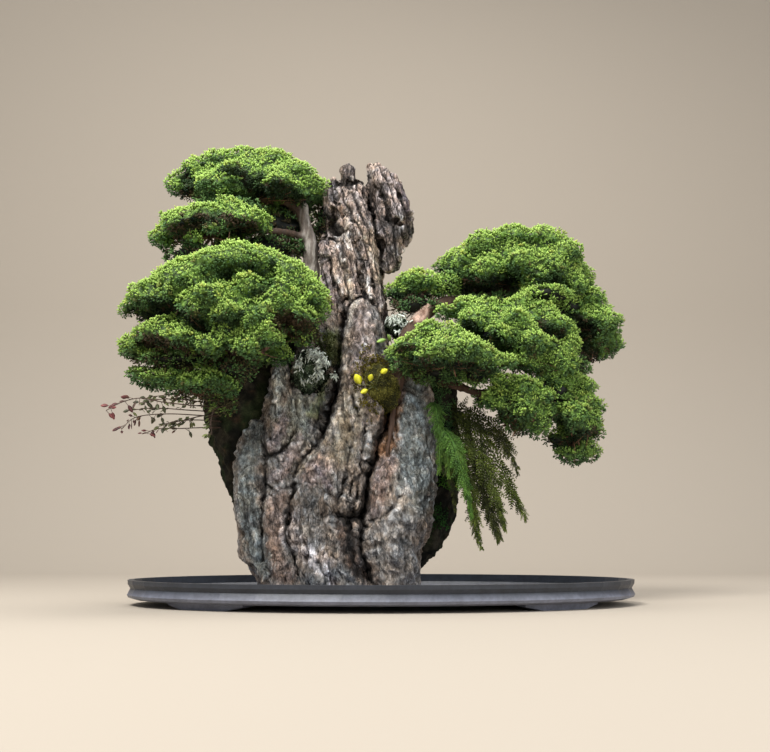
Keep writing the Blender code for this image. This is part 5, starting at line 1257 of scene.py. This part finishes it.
def scattered(mesh, spacing, seed, extra=1.9):
    """Random spots on a mesh no closer than the spacing: place, facing, and a vertex beside each."""
    faces = faces_of(mesh)
    points = points_of(mesh)
    normals = normals_of(mesh)
    corners = points[faces]
    area = np.linalg.norm(np.cross(corners[:, 1] - corners[:, 0], corners[:, 2] - corners[:, 0]), axis=1) / 2
    rng = np.random.default_rng(seed)
    tries = int(area.sum() / spacing**2 * extra)
    rows = rng.choice(len(faces), tries, p=area / area.sum())
    part = rng.random((tries, 2))
    part[part.sum(axis=1) > 1.0] = 1.0 - part[part.sum(axis=1) > 1.0]
    weights = np.stack([1.0 - part.sum(axis=1), part[:, 0], part[:, 1]], axis=1)[:, :, None]
    places = (corners[rows] * weights).sum(axis=1)
    facing = unit((normals[faces[rows]] * weights).sum(axis=1))
    steps = [np.array(step) - 1 for step in np.ndindex(3, 3, 3)]
    taken = {}
    kept = []
    for k, key in enumerate(map(tuple, np.floor(places / spacing).astype(int).tolist())):
        spot = places[k]
        others = [taken.get((key[0] + dx, key[1] + dy, key[2] + dz)) for dx, dy, dz in steps]
        if all(other is None or ((other - spot) ** 2).sum() > spacing**2 for other in others):
            taken[key] = spot
            kept.append(k)
    return places[kept], facing[kept], faces[rows[kept]][:, 0]


def sides_of(axes):
    """Two directions at right angles to each of the axes."""
    helper = np.where(np.abs(axes[:, 2:3]) < 0.8, (0.0, 0.0, 1.0), (1.0, 0.0, 0.0))
    side = unit(np.cross(axes, helper))
    return side, np.cross(axes, side)


def nubs(starts, axes, lengths, widths):
    """Slim closed four-faced blades, pointed at the root and blunt at the tip."""
    side, other = sides_of(axes)
    rings = [starts]
    for k in range(3):
        angle = 2.0 * math.pi * k / 3.0
        out = side * math.cos(angle) + other * math.sin(angle)
        reach = lengths * (0.84 + 0.16 * (k == 0))
        rings.append(starts + axes * reach[:, None] + out * widths[:, None])
    points = np.stack(rings, axis=1).reshape(-1, 3)
    corners = np.array([(0, 2, 1), (0, 3, 2), (0, 1, 3), (1, 2, 3)])
    faces = (np.arange(len(starts)) * 4)[:, None, None] + corners[None]
    return points, faces.reshape(-1, 3)


def spindles(starts, axes, lengths, widths, belly):
    """Slim three-sided closed blades, pointed at both ends and widest at a share of the length."""
    side, other = sides_of(axes)
    rings = [starts]
    for k in range(3):
        angle = 2.0 * math.pi * k / 3.0
        out = side * math.cos(angle) + other * math.sin(angle)
        rings.append(starts + axes * (lengths * belly)[:, None] + out * widths[:, None])
    rings.append(starts + axes * lengths[:, None])
    points = np.stack(rings, axis=1).reshape(-1, 3)
    corners = np.array([(0, 2, 1), (0, 3, 2), (0, 1, 3), (4, 1, 2), (4, 2, 3), (4, 3, 1)])
    faces = (np.arange(len(starts)) * 5)[:, None, None] + corners[None]
    return points, faces.reshape(-1, 3)


def tufts(places, facing, light_share, size, seed, brown):
    """Small sprays of blunt scale leaves, dark at the root and bright at the tip, the tips given painted
    light and shade by their share of light: yellower where lit, bluer and then near black where shaded.
    """
    rng = np.random.default_rng(seed)
    count = len(places)
    up = np.array((0.0, 0.0, 1.0))
    axes = unit(facing + up * 0.45 + rng.normal(0.0, 0.22, (count, 3)))
    side, other = sides_of(axes)
    tone = rng.random(count)
    # Painted light and shade: the tip's colour follows the given share of light.
    tip = mixed(LEAF_MIDDLE, LEAF_TIP, np.clip(light_share + 0.30 * (tone - 0.5), 0.0, 1.0))
    tip = mixed(tip, LEAF_SHADE_BLUE, stepped(0.40, 0.05, light_share) * 0.8)
    tip = mixed(tip, LEAF_DEEP, stepped(0.16, -0.14, light_share) * 0.9)
    tip = mixed(tip, LEAF_YELLOW, stepped(0.84, 1.0, rng.random(count)) * light_share * 0.7)
    tip = mixed(tip, LEAF_OLD, stepped(0.96, 1.0, rng.random(count)) * 0.7)
    tip = mixed(tip, LEAF_DEAD, (rng.random(count) < brown) * 0.9)
    root = mixed(LEAF_DEEP, tip, np.full(count, 0.38))
    parts = []
    for k in range(FINGERS):
        tilt = np.zeros(count) if k == 0 else rng.uniform(0.40, 1.25, count)
        turn = 2.0 * math.pi * k / (FINGERS - 1) + rng.uniform(-0.4, 0.4, count)
        out = side * np.cos(turn)[:, None] + other * np.sin(turn)[:, None]
        lean = unit(axes * np.cos(tilt)[:, None] + out * np.sin(tilt)[:, None] + up * 0.22)
        starts = places + axes * (size * rng.uniform(-0.30, 0.15, count))[:, None]
        lengths = size * rng.uniform(0.72, 1.08, count)
        blades, faces = nubs(starts, lean, lengths, FINGER_WIDTH * rng.uniform(0.75, 1.25, count))
        glow = rng.uniform(0.70, 1.25, count)[:, None]
        colours = np.stack([root, tip * glow, tip * glow * 0.8, tip * glow * 0.8], axis=1)
        parts.append((blades, faces, colours.reshape(-1, 3)))
    return joined(*parts)


def folded(name, points, normals, seed):
    """How deep the folds of a pad's front are at points, how much painted shade they get, and how brown they
    make them.
    """
    wobble = np.stack([waves(points * 70, seed + 3), waves(points * 70, seed + 4)], axis=1)
    spots = points[:, [0, 2]] + 0.0030 * wobble
    front = stepped(0.60, 0.10, normals[:, 1])
    deep, dark, brown = np.zeros((3, len(points)))
    for half, depth, shade, old, *line in FOLDS.get(name, ()):
        rows = [(*spot, half, 0.0) for spot in line]
        ratio, _ = along_stroke(spots, rows)
        above, _ = along_stroke(spots - (0.0, half * 0.45), rows)
        deep = np.maximum(deep, depth * stepped(1.7, 0.4, ratio) * front)
        # Painted shade, centred a little above each fold, under the clump that hangs over it.
        dark = np.maximum(dark, shade * stepped(1.6, 0.6, above) * front)
        brown = np.maximum(brown, old * stepped(1.5, 0.7, above) * front)
    return deep, dark, brown


def twigs_under(skin, seed, count):
    """Thin brown twigs that fan out from the middle of a pad's underside."""
    points = points_of(skin)
    low, high = points.min(axis=0), points.max(axis=0)
    hub = (low + high) / 2
    hub[2] = low[2] + 0.30 * (high[2] - low[2])
    lower = points[:, 2] < low[2] + 0.40 * (high[2] - low[2])
    rows = np.flatnonzero((normals_of(skin)[:, 2] < -0.35) & lower)
    rng = np.random.default_rng(seed)
    parts = []
    for row in rng.choice(rows, min(count, len(rows)), replace=False):
        tip = points[row] + normals_of(skin)[row] * 0.0005
        bend = (hub + tip) / 2 + rng.normal(0.0, 0.006, 3) - (0.0, 0.0, 0.004)
        path = curved((hub, bend, tip), 3)
        wood = np.array(TWIG) * rng.uniform(0.6, 1.6)
        parts.append(tube(path, np.linspace(0.0014, 0.0005, len(path)), 3, wood))
    return joined(*parts)


def pad(name, material, seed):
    """Clipped pad: folds between its clumps, and scale-leaved tufts over a body of the same, the body darker
    as painted shade and the tufts given painted light and shade.
    """
    skin = skin_of(name, PAD_VOXEL, 4)
    points = points_of(skin)
    normals = normals_of(skin)
    cloud = np.clip(hollows(skin, 45), -0.006, 0.008)
    warp = 0.25 * np.stack([waves(points * 60, seed + k) for k in range(3)], axis=1)
    near, second = clumps(points / CLUMP + warp, seed)
    dome = stepped(0.0, 0.45, second - near)
    deep, dark, brown = folded(name, points, normals, seed)
    top = stepped(0.15, 0.75, normals[:, 2])
    lift = 0.0060 * dome * (1.0 - 0.4 * top) + 0.0020 * top - 0.0055
    lift += (1.3 * top - 0.7) * cloud + 0.0014 * waves(points * 90, seed)
    points = points + normals * (lift - deep * 0.5)[:, None]
    points[:, 1] += deep * 0.6
    moved(skin, points)

    # The body is painted shade: dark green, darker between the domes, near black in the folds, and brown in
    # the folds.
    fine = stepped(-0.5, 0.6, layered(points * 330, seed + 9, 2))
    body_colour = mixed(LEAF_DEEP, np.array(LEAF_MIDDLE) * 0.9, fine * (1.0 - 0.5 * (1.0 - dome)))
    body_colour = mixed(body_colour, FOLD_BROWN, brown * 0.8)
    body_colour = mixed(body_colour, FOLD_SHADE, dark * 0.85)
    body = (points - normals * 0.0042, faces_of(skin), body_colour)

    places, facing, rows = scattered(skin, TUFT_SPACING, seed)
    # Painted light and shade on the tufts: lighter facing up, darker in creases and hollows, on undersides
    # and in the folds, scaled by each pad's share of light.
    crease = np.clip(1.0 - dome[rows] + stepped(0.000, 0.006, cloud[rows]) * 0.6, 0.0, 1.0)
    under = stepped(-0.05, -0.75, facing[:, 2])
    share = np.clip(0.62 + 0.50 * facing[:, 2], 0.0, 1.0) * (1.0 - 0.45 * crease) * (1.0 - 0.70 * under)
    share = share * PAD_LIGHT.get(name, 1.0) * (1.0 - 0.90 * dark[rows]) - 0.22 * dark[rows]
    rng = np.random.default_rng(seed + 50)
    size = FINGER_LENGTH * rng.uniform(0.80, 1.15, len(places)) * (1.0 - 0.15 * crease)
    sprays = tufts(places, facing, share, size, seed, brown[rows])
    built(name + "_leaves", [body, sprays, twigs_under(skin, seed + 60, 26)], material, "juniper", name)


def filling(name, material, seed):
    """Loose sprays in the shade between the pads, round near-black hearts of painted shade where they are
    dense.
    """
    parts = []
    for k, (middle, half, count, share, brown) in enumerate(FILLS[name]):
        rng = np.random.default_rng(seed + k)
        if not name.startswith("loose"):
            heart = bmesh.new()
            bmesh.ops.create_icosphere(heart, subdivisions=2, radius=1.0)
            ball = np.array([vertex.co[:] for vertex in heart.verts])
            faces = np.array([[vertex.index for vertex in face.verts] for face in heart.faces])
            heart.free()
            ball *= (0.70 + 0.34 * layered(ball * 2.4 + k * 9.0, seed, 3))[:, None]
            # The heart is a near-black ball of painted shade.
            dark = np.tile(HEART_SHADE, (len(ball), 1))
            parts.append((np.array(middle) + ball * half, faces, dark))
        spots = unit(rng.normal(0.0, 1.0, (count, 3))) * (rng.random(count) ** 0.33)[:, None]
        facing = unit(spots + rng.normal(0.0, 0.4, (count, 3)))
        places = np.array(middle) + spots * np.array(half)
        size = FINGER_LENGTH * rng.uniform(0.9, 1.4, count)
        light_share = np.clip(share * rng.uniform(0.4, 1.6, count), 0.0, 1.0)
        parts.append(tufts(places, facing, light_share, size, seed + k, brown))
    built(name, parts, material, "juniper")


def foliage():
    """All the foliage: the pads, and the loose sprays between them."""
    material = finish("juniper", 0.58, 60.0, 0.15, 500.0, 0.0003, specular=0.3)
    for k, name in enumerate(sorted(n for n in frame["nodes"] if n.startswith("pad_"))):
        pad(name, material, 200 + 20 * k)
    for k, name in enumerate(FILLS):
        filling(name, material, 700 + 20 * k)


def curved(points, steps):
    """Smooth path through points, with a number of steps between each two."""
    points = np.array(points, float)
    padded = np.vstack([2 * points[0] - points[1], points, 2 * points[-1] - points[-2]])
    rows = []
    for k in range(len(points) - 1):
        a, b, c, d = padded[k : k + 4]
        bend = 2 * a - 5 * b + 4 * c - d
        turn = 3 * b - a - 3 * c + d
        for t in np.arange(steps) / steps:
            rows.append(0.5 * (2 * b + (c - a) * t + bend * t**2 + turn * t**3))
    rows.append(points[-1])
    return np.array(rows)


def tube(path, radii, sides, colour):
    """Closed tube along a path, as points, faces and colours."""
    tangents = unit(np.gradient(path, axis=0))
    side, other = sides_of(tangents)
    rings = []
    for k in range(sides):
        angle = 2.0 * math.pi * k / sides
        out = side * math.cos(angle) + other * math.sin(angle)
        rings.append(path + out * np.asarray(radii)[:, None])
    points = np.stack(rings, axis=1).reshape(-1, 3)
    count = len(path)
    faces = []
    for row in range(count - 1):
        for k in range(sides):
            a = row * sides + k
            b = row * sides + (k + 1) % sides
            faces += [(a, b, b + sides), (a, b + sides, a + sides)]
    for k in range(1, sides - 1):
        faces.append((0, k + 1, k))
        last = (count - 1) * sides
        faces.append((last, last + k, last + k + 1))
    return points, np.array(faces), np.tile(colour, (len(points), 1))


def leaf_shape(widths):
    """Closed leaf of unit length: rows of share along, across and thick, and its faces."""
    count = len(widths)
    rows = [(0.0, 0.0, 0.0)]
    for k, wide in enumerate(widths):
        t = (k + 0.8) / (count + 0.3)
        rows += [(t, -wide, 0.0), (t, 0.0, 1.0), (t, wide, 0.0), (t, 0.0, -1.0)]
    rows.append((1.0, 0.0, 0.0))
    faces = []
    for k in range(4):
        after = (k + 1) % 4
        faces.append((0, 1 + after, 1 + k))
        last = 1 + 4 * (count - 1)
        faces.append((4 * count + 1, last + k, last + after))
        for row in range(count - 1):
            a = 1 + 4 * row + k
            b = 1 + 4 * row + after
            faces += [(a, b, b + 4), (a, b + 4, a + 4)]
    return np.array(rows), np.array(faces)


def leaves(shape, starts, axes, faces_up, lengths, widths, thick, droop, colours):
    """Leaves of one shape, each from its start along its axis, bending down by a share of its length."""
    rows, corners = shape
    side = unit(np.cross(axes, faces_up))
    normal = np.cross(side, axes)
    along, across, high = rows.T
    points = starts[:, None] + axes[:, None] * (along[None] * lengths[:, None])[:, :, None]
    points = points + side[:, None] * (across[None] * widths[:, None])[:, :, None]
    points = points + normal[:, None] * (high * thick)[None, :, None]
    points[:, :, 2] -= (along**2)[None] * (droop * lengths)[:, None]
    faces = (np.arange(len(starts)) * len(rows))[:, None, None] + corners[None]
    shade = (0.75 + 0.45 * along)[None, :, None] * colours[:, None]
    return points.reshape(-1, 3), faces.reshape(-1, 3), shade.reshape(-1, 3)


OVAL = leaf_shape((0.55, 0.92, 1.0, 0.80, 0.42))


def spots_along(path, spots):
    """Places along a path, for shares of it."""
    share = np.linspace(0.0, 1.0, len(path))
    return np.stack([np.interp(spots, share, path[:, axis]) for axis in range(3)], axis=1)


def frond(line, half_width, low, high, seed, spacing=0.0056):
    """Hanging fern frond: a midrib with drooping side ribs, each with two rows of small leaflets."""
    rng = np.random.default_rng(seed)
    path = curved(line, 16)
    length = np.linalg.norm(np.diff(path, axis=0), axis=1).sum()
    share = np.linspace(0.0, 1.0, len(path))
    count = int(length / spacing)
    outward = np.array((0.25, -1.0, 0.15))
    parts = [tube(path, 0.0010 - 0.0006 * share, 4, np.array(low) * 1.5)]
    for sign in (-1.0, 1.0):
        spots = np.clip(np.linspace(0.08, 0.985, count) + rng.uniform(-0.010, 0.010, count), 0.0, 1.0)
        starts = spots_along(path, spots)
        ahead = unit(spots_along(np.gradient(path, axis=0), spots))
        side = unit(np.cross(ahead, outward)) * sign
        lean = 0.45 + 0.75 * spots + rng.normal(0.0, 0.12, count)
        axes = side * np.cos(lean)[:, None] + ahead * np.sin(lean)[:, None]
        axes = unit(axes + rng.normal(0.0, 0.14, (count, 3)) + (0.0, 0.0, -0.30))
        reach = half_width * np.sin(np.pi * np.clip(spots * 0.78 + 0.17, 0.0, 1.0)) ** 0.8
        reach = np.maximum(reach * rng.uniform(0.75, 1.15, count), 0.0065)
        tone = mixed(low, high, np.clip(rng.random(count) * (0.3 + 0.7 * spots), 0.0, 1.0))
        ribs, rib_faces = spindles(starts, axes, reach * 0.98, np.full(count, 0.0006), 0.2)
        parts.append((ribs, rib_faces, np.repeat(tone * 0.7, 5, axis=0)))
        across = unit(np.cross(axes, outward))
        steps = 6
        for k in range(steps):
            t = (k + 0.6) / steps
            for turn in (-1.0, 1.0):
                leaf = unit(across * turn * (1.0 - 0.4 * t) + axes * (0.55 + 0.5 * t) + (0.0, 0.0, -0.15))
                place = starts + axes * (reach * t)[:, None]
                long = np.clip(reach * 0.30, 0.0030, 0.0068) * (1.15 - 0.60 * t)
                long = long * rng.uniform(0.8, 1.2, count)
                blades, faces = spindles(place, leaf, long, long * 0.25, 0.45)
                glow = rng.uniform(0.75, 1.25, count)[:, None] * (0.8 + 0.4 * t)
                parts.append((blades, faces, np.repeat(tone * glow, 5, axis=0)))
    return joined(*parts)


def ferns():
    """Seven hanging fronds, two of them bright green, and small dark and bright ones round them."""
    dark = finish("fern_leaf", 0.60, 200.0, 0.25, 600.0, 0.0003, specular=0.3)
    bright = finish("fern_bright_leaf", 0.60, 200.0, 0.25, 600.0, 0.0003, specular=0.3)
    for k, (name, row) in enumerate(FRONDS.items()):
        if name in ("fern_frond_6", "fern_frond_7"):
            parts = [frond(*row, *FERN_BRIGHT, 601 + k, 0.0040)]
            built(name + "_leaflets", parts, bright, "fern_bright", name)
        else:
            parts = [frond(*row, *FERN_DARK, 601 + k)]
            built(name + "_leaflets", parts, dark, "fern", name)
    parts = [frond(*row, *FERN_SHADED, 640 + k) for k, row in enumerate(LOOSE_FRONDS)]
    built("small_fronds", parts, dark, "fern")
    parts = [frond(*row, *FERN_FRESH, 660 + k, 0.0036) for k, row in enumerate(BRIGHT_FRONDS)]
    built("small_bright_fronds", parts, bright, "fern_bright")


def trailing(line, count, half, low, high, seed, green=False):
    """Thin trailing stem with small oval leaves on short stalks, darkened near the root as painted shade
    unless green.
    """
    rng = np.random.default_rng(seed)
    path = curved(line, 8)
    share = np.linspace(0.0, 1.0, len(path))
    parts = [tube(path, 0.0009 - 0.0004 * share, 4, CREEPER_STEM)]
    spots = np.concatenate([np.linspace(0.42, 0.98, count), [1.0]])
    starts = spots_along(path, spots)
    size = count + 1
    turn = rng.uniform(0.0, 2.0 * math.pi, size)
    fall = 0.75 * rng.random(size) - 0.55
    axes = unit(np.stack([-0.5 + 0.7 * np.cos(turn), 0.4 * np.sin(turn), fall], axis=1))
    up = [rng.normal(0.0, 0.3, size), np.full(size, -0.8), 0.5 + rng.normal(0.0, 0.3, size)]
    up = unit(np.stack(up, axis=1))
    lengths = 2.0 * half * rng.uniform(0.75, 1.20, size)
    for start, axis, long in zip(starts, axes, lengths):
        stalk = np.stack([start, start + axis * long * 0.35, start + axis * long * 0.7])
        parts.append(tube(stalk, (0.0005, 0.0004, 0.0004), 3, CREEPER_STEM))
    colours = mixed(low, high, rng.random(size))
    # Painted shade: unless the stem is green, leaves near its root go dark.
    if not green:
        colours = mixed(CREEPER_SHADE, colours, stepped(0.60, 0.85, spots + 0.2 * rng.random(size)))
    roots = starts + axes * (lengths * 0.6)[:, None]
    parts.append(leaves(OVAL, roots, axes, up, lengths, lengths * 0.27, 0.0004, np.full(size, 0.15), colours))
    return joined(*parts)


def creepers():
    """Four trailing stems low on the left, and thinner ones among them."""
    red = finish("creeper_leaf", 0.55, 200.0, 0.25, 600.0, 0.0003)
    green = finish("creeper_green_leaf", 0.55, 200.0, 0.25, 600.0, 0.0003)
    for k, (name, row) in enumerate(CREEPERS.items()):
        if name == "creeper_stem_4":
            parts = [trailing(*row, *CREEPER_GREEN, 641 + k, True)]
            built(name + "_leaves", parts, green, "creeper_green", name)
        else:
            parts = [trailing(*row, *CREEPER_RED, 641 + k)]
            built(name + "_leaves", parts, red, "creeper", name)
    parts = [trailing(line, 16, 0.0038, *LOOSE_GREEN, 661 + k, True) for k, line in enumerate(LOOSE_STEMS)]
    built("loose_stems", parts, green, "creeper_green")


def small_leaves():
    """Small light green leaf in two blades, on its stalk by the right tree."""
    stalk = tube(np.array(SMALL_STALK), (0.0008, 0.0006, 0.0006), 4, SEEDLING_STEM)
    up = np.tile(LEAF_FACING, (2, 1))
    long = np.array(SMALL_LENGTHS)
    roots, axes = np.array(SMALL_ROOTS), unit(np.array(SMALL_AXES))
    green = np.tile(SMALL_GREEN, (2, 1))
    return stalk, leaves(OVAL, roots, axes, up, long, long * 0.22, 0.0005, np.full(2, 0.10), green)


def seedling():
    """Yellow broad-leaved seedling, and the small light green leaf."""
    material = finish("seedling_leaf", 0.45, 160.0, 0.12, 500.0, 0.0003)
    fork = np.array(SEEDLING_FORK)
    stem = curved((SEEDLING_ROOT, SEEDLING_FORK), 3)
    parts = [tube(stem, np.linspace(0.0011, 0.0008, 4), 4, SEEDLING_STEM)]
    rows = []
    for x, y, z, half, turn in SEEDLING_LEAVES:
        axis = np.array((math.cos(math.radians(turn)), -0.25, math.sin(math.radians(turn))))
        axis /= np.linalg.norm(axis)
        start = np.array((x, y, z)) - axis * half
        stalk = np.stack([fork, (fork + start) / 2 + (0, -0.002, 0.002), start])
        parts.append(tube(stalk, (0.0007, 0.0006, 0.0006), 4, SEEDLING_STEM))
        rows.append((start, axis, half * 2.0))
    starts, axes, lengths = (np.array(column) for column in zip(*rows))
    up = np.tile(LEAF_FACING, (len(rows), 1))
    colours = np.tile(SEEDLING_YELLOW, (len(rows), 1)) * np.array((1.0, 0.95, 0.8, 1.05))[:, None]
    droop = np.full(len(rows), 0.12)
    parts.append(leaves(OVAL, starts, axes, up, lengths, lengths * 0.33, 0.0006, droop, colours))
    built("yellow_seedling_leaves", [*parts, *small_leaves()], material, "seedling", "yellow_seedling")


def bark(name, voxel, seed, pale, dark, flake, slot, shade=None):
    """Trunk and branches with stringy, flaking bark along them."""
    mesh = skin_of(name, voxel, 3)
    points = points_of(mesh)
    grain = points * (210, 210, 40)
    twist = layered(grain, seed, 2)
    knots = waves(points * 45, seed + 5)
    moved(mesh, points + normals_of(mesh) * (0.0010 * twist + 0.0014 * knots)[:, None])
    share = stepped(-0.5, 0.5, layered(grain * 0.8, seed + 9, 2))
    colour = mixed(dark, pale, share)
    colour = mixed(colour, flake, stepped(0.35, 0.8, waves(grain * 0.5, seed + 13)) * 0.6)
    # Painted shade: darker in the bark's hollows.
    colour = mixed(colour, np.array(dark) * 0.35, stepped(0.0001, 0.0007, hollows(mesh, 5)) * 0.7)
    if shade is not None:
        colour = mixed(colour, WOOD_SHADE, shade(points) * 0.94)
    painted(mesh, colour)
    material = finish(slot + "_bark", 0.82, 160.0, 0.30, 420.0, 0.0012, (1.0, 1.0, 0.25))
    piece(name + "_bark", mesh, material, slot, name)


def upper_shade(points):
    """Share of shade on the upper tree's wood, which is bare only where it leaves its pads."""
    return stepped(-0.115, -0.135, points[:, 0])


def right_shade(points):
    """Share of shade on the right tree's wood, which shows only in a short stretch beside the stone."""
    x, _, z = points.T
    return 1.0 - stepped(0.414, 0.422, z) * stepped(0.460, 0.450, z) * stepped(0.076, 0.070, x)


def trees():
    """The three trees' wood: silver grey above, dark on the left, pinkish brown on the right."""
    shades = {"upper_tree": upper_shade, "right_tree": right_shade}
    for name, row in BARKS.items():
        bark(name, *row, shades.get(name))


def banks():
    """Banks of dark fibrous peat."""
    for name, seed in (("peat_left", 401), ("peat_right", 411)):
        mesh = skin_of(name, 0.0038, 2)
        points = points_of(mesh)
        rough = layered(points * 95, seed, 3)
        strings = waves(points * (260, 260, 60), seed + 4)
        moved(mesh, points + normals_of(mesh) * (0.0030 * rough + 0.0010 * strings + 0.0022)[:, None])
        pale = stepped(-0.4, 0.6, layered(points * 60, seed + 7, 3))
        green = stepped(0.1, 0.6, layered(points * 22, seed + 11, 2))
        brown = stepped(0.4, 0.8, layered(points * 48, seed + 15, 2))
        colour = mixed(PEAT_DARK, PEAT_PALE, pale)
        colour = mixed(colour, PEAT_GREEN, green * 0.6)
        colour = mixed(colour, PEAT_BROWN, brown * 0.5)
        painted(mesh, colour)
        material = finish(name + "_soil", 0.95, 120.0, 0.45, 420.0, 0.0020, specular=0.2)
        piece(name + "_soil", mesh, material, "soil", name, sharp=50.0)


def mound(middle, half):
    """Round mound as a mesh."""
    shape = bmesh.new()
    place = Matrix.Translation(middle) @ Matrix.Diagonal((*half, 1.0))
    bmesh.ops.create_icosphere(shape, subdivisions=4, radius=1.0, matrix=place)
    mesh = bpy.data.meshes.new("mound")
    shape.to_mesh(mesh)
    shape.free()
    return mesh


def fuzz(skin, seed, sink, spacing, length, width, colours):
    """Cushion of moss or lichen: a lumpy body under short fine blades."""
    points = points_of(skin)
    moved(skin, points + normals_of(skin) * (0.0040 * layered(points * 75, seed, 3) - sink)[:, None])
    low, middle, high = (np.array(colour) for colour in colours)
    share = stepped(-0.3, 0.5, layered(points * 60, seed + 3, 2))
    parts = [(points_of(skin), faces_of(skin), mixed(low, middle, share * 0.8))]
    places, facing, _ = scattered(skin, spacing, seed)
    rng = np.random.default_rng(seed)
    count = len(places)
    share = stepped(-0.4, 0.6, layered(places * 60, seed + 3, 2))
    share = np.clip(share + rng.uniform(-0.25, 0.25, count), 0.0, 1.0)
    for _ in range(3):
        lean = unit(facing + rng.normal(0.0, 0.55, (count, 3)))
        starts = places - facing * length * 0.2
        blades, faces = nubs(starts, lean, length * rng.uniform(0.6, 1.2, count), np.full(count, width))
        tip = mixed(middle, high, share)
        rows = np.stack([mixed(low, middle, share), tip, tip, tip], axis=1)
        parts.append((blades, faces, rows.reshape(-1, 3)))
    return joined(*parts)


def wisps(middle, half, count, seed):
    """Pale curled threads of hanging lichen."""
    rng = np.random.default_rng(seed)
    parts = []
    for _ in range(count):
        start = np.array(middle) + rng.normal(0.0, 0.5, 3) * np.array(half)
        turn = rng.uniform(0.0, 2.0 * math.pi)
        out = np.array((math.cos(turn) * 0.8, -0.7 * rng.random(), math.sin(turn) * 0.5 - 0.35))
        long = rng.uniform(0.003, 0.009)
        bend = np.array((0.0, -0.1, -0.35)) * long
        path = np.stack([start + out * long * t + bend * t * t for t in (0.0, 0.4, 0.75, 1.0)])
        tone = 0.34 + 0.62 * rng.random()
        radii = np.array((0.0009, 0.0011, 0.0008, 0.0003)) * rng.uniform(0.8, 1.7)
        parts.append(tube(path, radii, 3, np.array(LICHEN_THREAD) * tone))
    return joined(*parts)


def small_growth():
    """Moss cushion with a mound beside it, and the two patches of lichen with their threads."""
    cushion = fuzz(skin_of("moss_cushion", 0.0034, 3), 501, 0.000, 0.0032, 0.0042, 0.0007, MOSS)
    beside = fuzz(mound(MOUND_MIDDLE, MOUND_HALF), 503, 0.000, 0.0032, 0.0042, 0.0007, MOSS)
    material = finish("moss", 0.92, 150.0, 0.30, 500.0, 0.0006, specular=0.2)
    built("moss_cushion_tufts", [cushion, beside], material, "moss", "moss_cushion")
    material = finish("lichen", 0.92, 150.0, 0.30, 500.0, 0.0006, specular=0.2)
    for k, (name, groups) in enumerate(LICHEN.items()):
        skin = skin_of(name, 0.0034, 3)
        body = fuzz(skin, 511 + 10 * k, 0.0070, 0.0036, 0.0055, 0.0008, LICHEN_SHADE)
        threads = [wisps(*group, 531 + 10 * k + row) for row, group in enumerate(groups)]
        built(name + "_tufts", [body, *threads], material, "lichen", name)


def moss_patches():
    """Low moss on the right bank and in the stone's shoulders."""
    material = finish("low_moss", 0.92, 150.0, 0.30, 500.0, 0.0006, specular=0.2)
    parts = []
    pieces = {obj.name: obj for obj in bpy.context.scene.objects}
    for k, (source, middle, half, count, low, high) in enumerate(MOSS_PATCHES):
        mesh = pieces["stone_weathered" if source == "stone" else source + "_soil"].data
        points = points_of(mesh)
        normals = normals_of(mesh)
        off = (points[:, [0, 2]] - np.array(middle)) / np.array(half)
        off = np.linalg.norm(off, axis=1) + 0.45 * waves(points * 90, 860 + k)
        rows = np.flatnonzero((off < 1.0) & (normals[:, 1] < 0.15))
        rng = np.random.default_rng(870 + k)
        rows = rng.choice(rows, min(count, len(rows)), replace=False)
        share = stepped(-0.5, 0.6, layered(points[rows] * 80, 880 + k, 2))
        tip = mixed(low, high, np.clip(share + rng.uniform(-0.2, 0.2, len(rows)), 0.0, 1.0))
        for _ in range(4):
            lean = unit(normals[rows] + rng.normal(0.0, 0.6, (len(rows), 3)) + (0.0, -0.1, 0.1))
            starts = points[rows] + rng.normal(0.0, 0.0012, (len(rows), 3)) - normals[rows] * 0.001
            lengths = rng.uniform(0.003, 0.0055, len(rows))
            blades, faces = nubs(starts, lean, lengths, np.full(len(rows), 0.0009))
            colours = np.stack([tip * 0.4, tip, tip * 0.9, tip * 0.9], axis=1)
            parts.append((blades, faces, colours.reshape(-1, 3)))
    built("low_moss", parts, material, "moss")


def tray():
    """Fired skin of the shallow oval tray, paler low down."""
    mesh = frame["nodes"]["tray"].data.copy()
    points = points_of(mesh)
    # Paler towards the bottom of the tray.
    low_share = stepped(0.026, 0.014, points[:, 2])
    painted(mesh, mixed(TRAY_DARK, TRAY_PALE_LOW, low_share))
    material = finish("stoneware", 0.45, 40.0, 0.18, 300.0, 0.0004)
    piece("tray_fired", mesh, material, "stoneware", "tray", sharp=35.0)


def main():
    """Builds every piece."""
    studio()
    stone()
    banks()
    trees()
    small_growth()
    moss_patches()
    ferns()
    creepers()
    seedling()
    tray()
    foliage()


main()
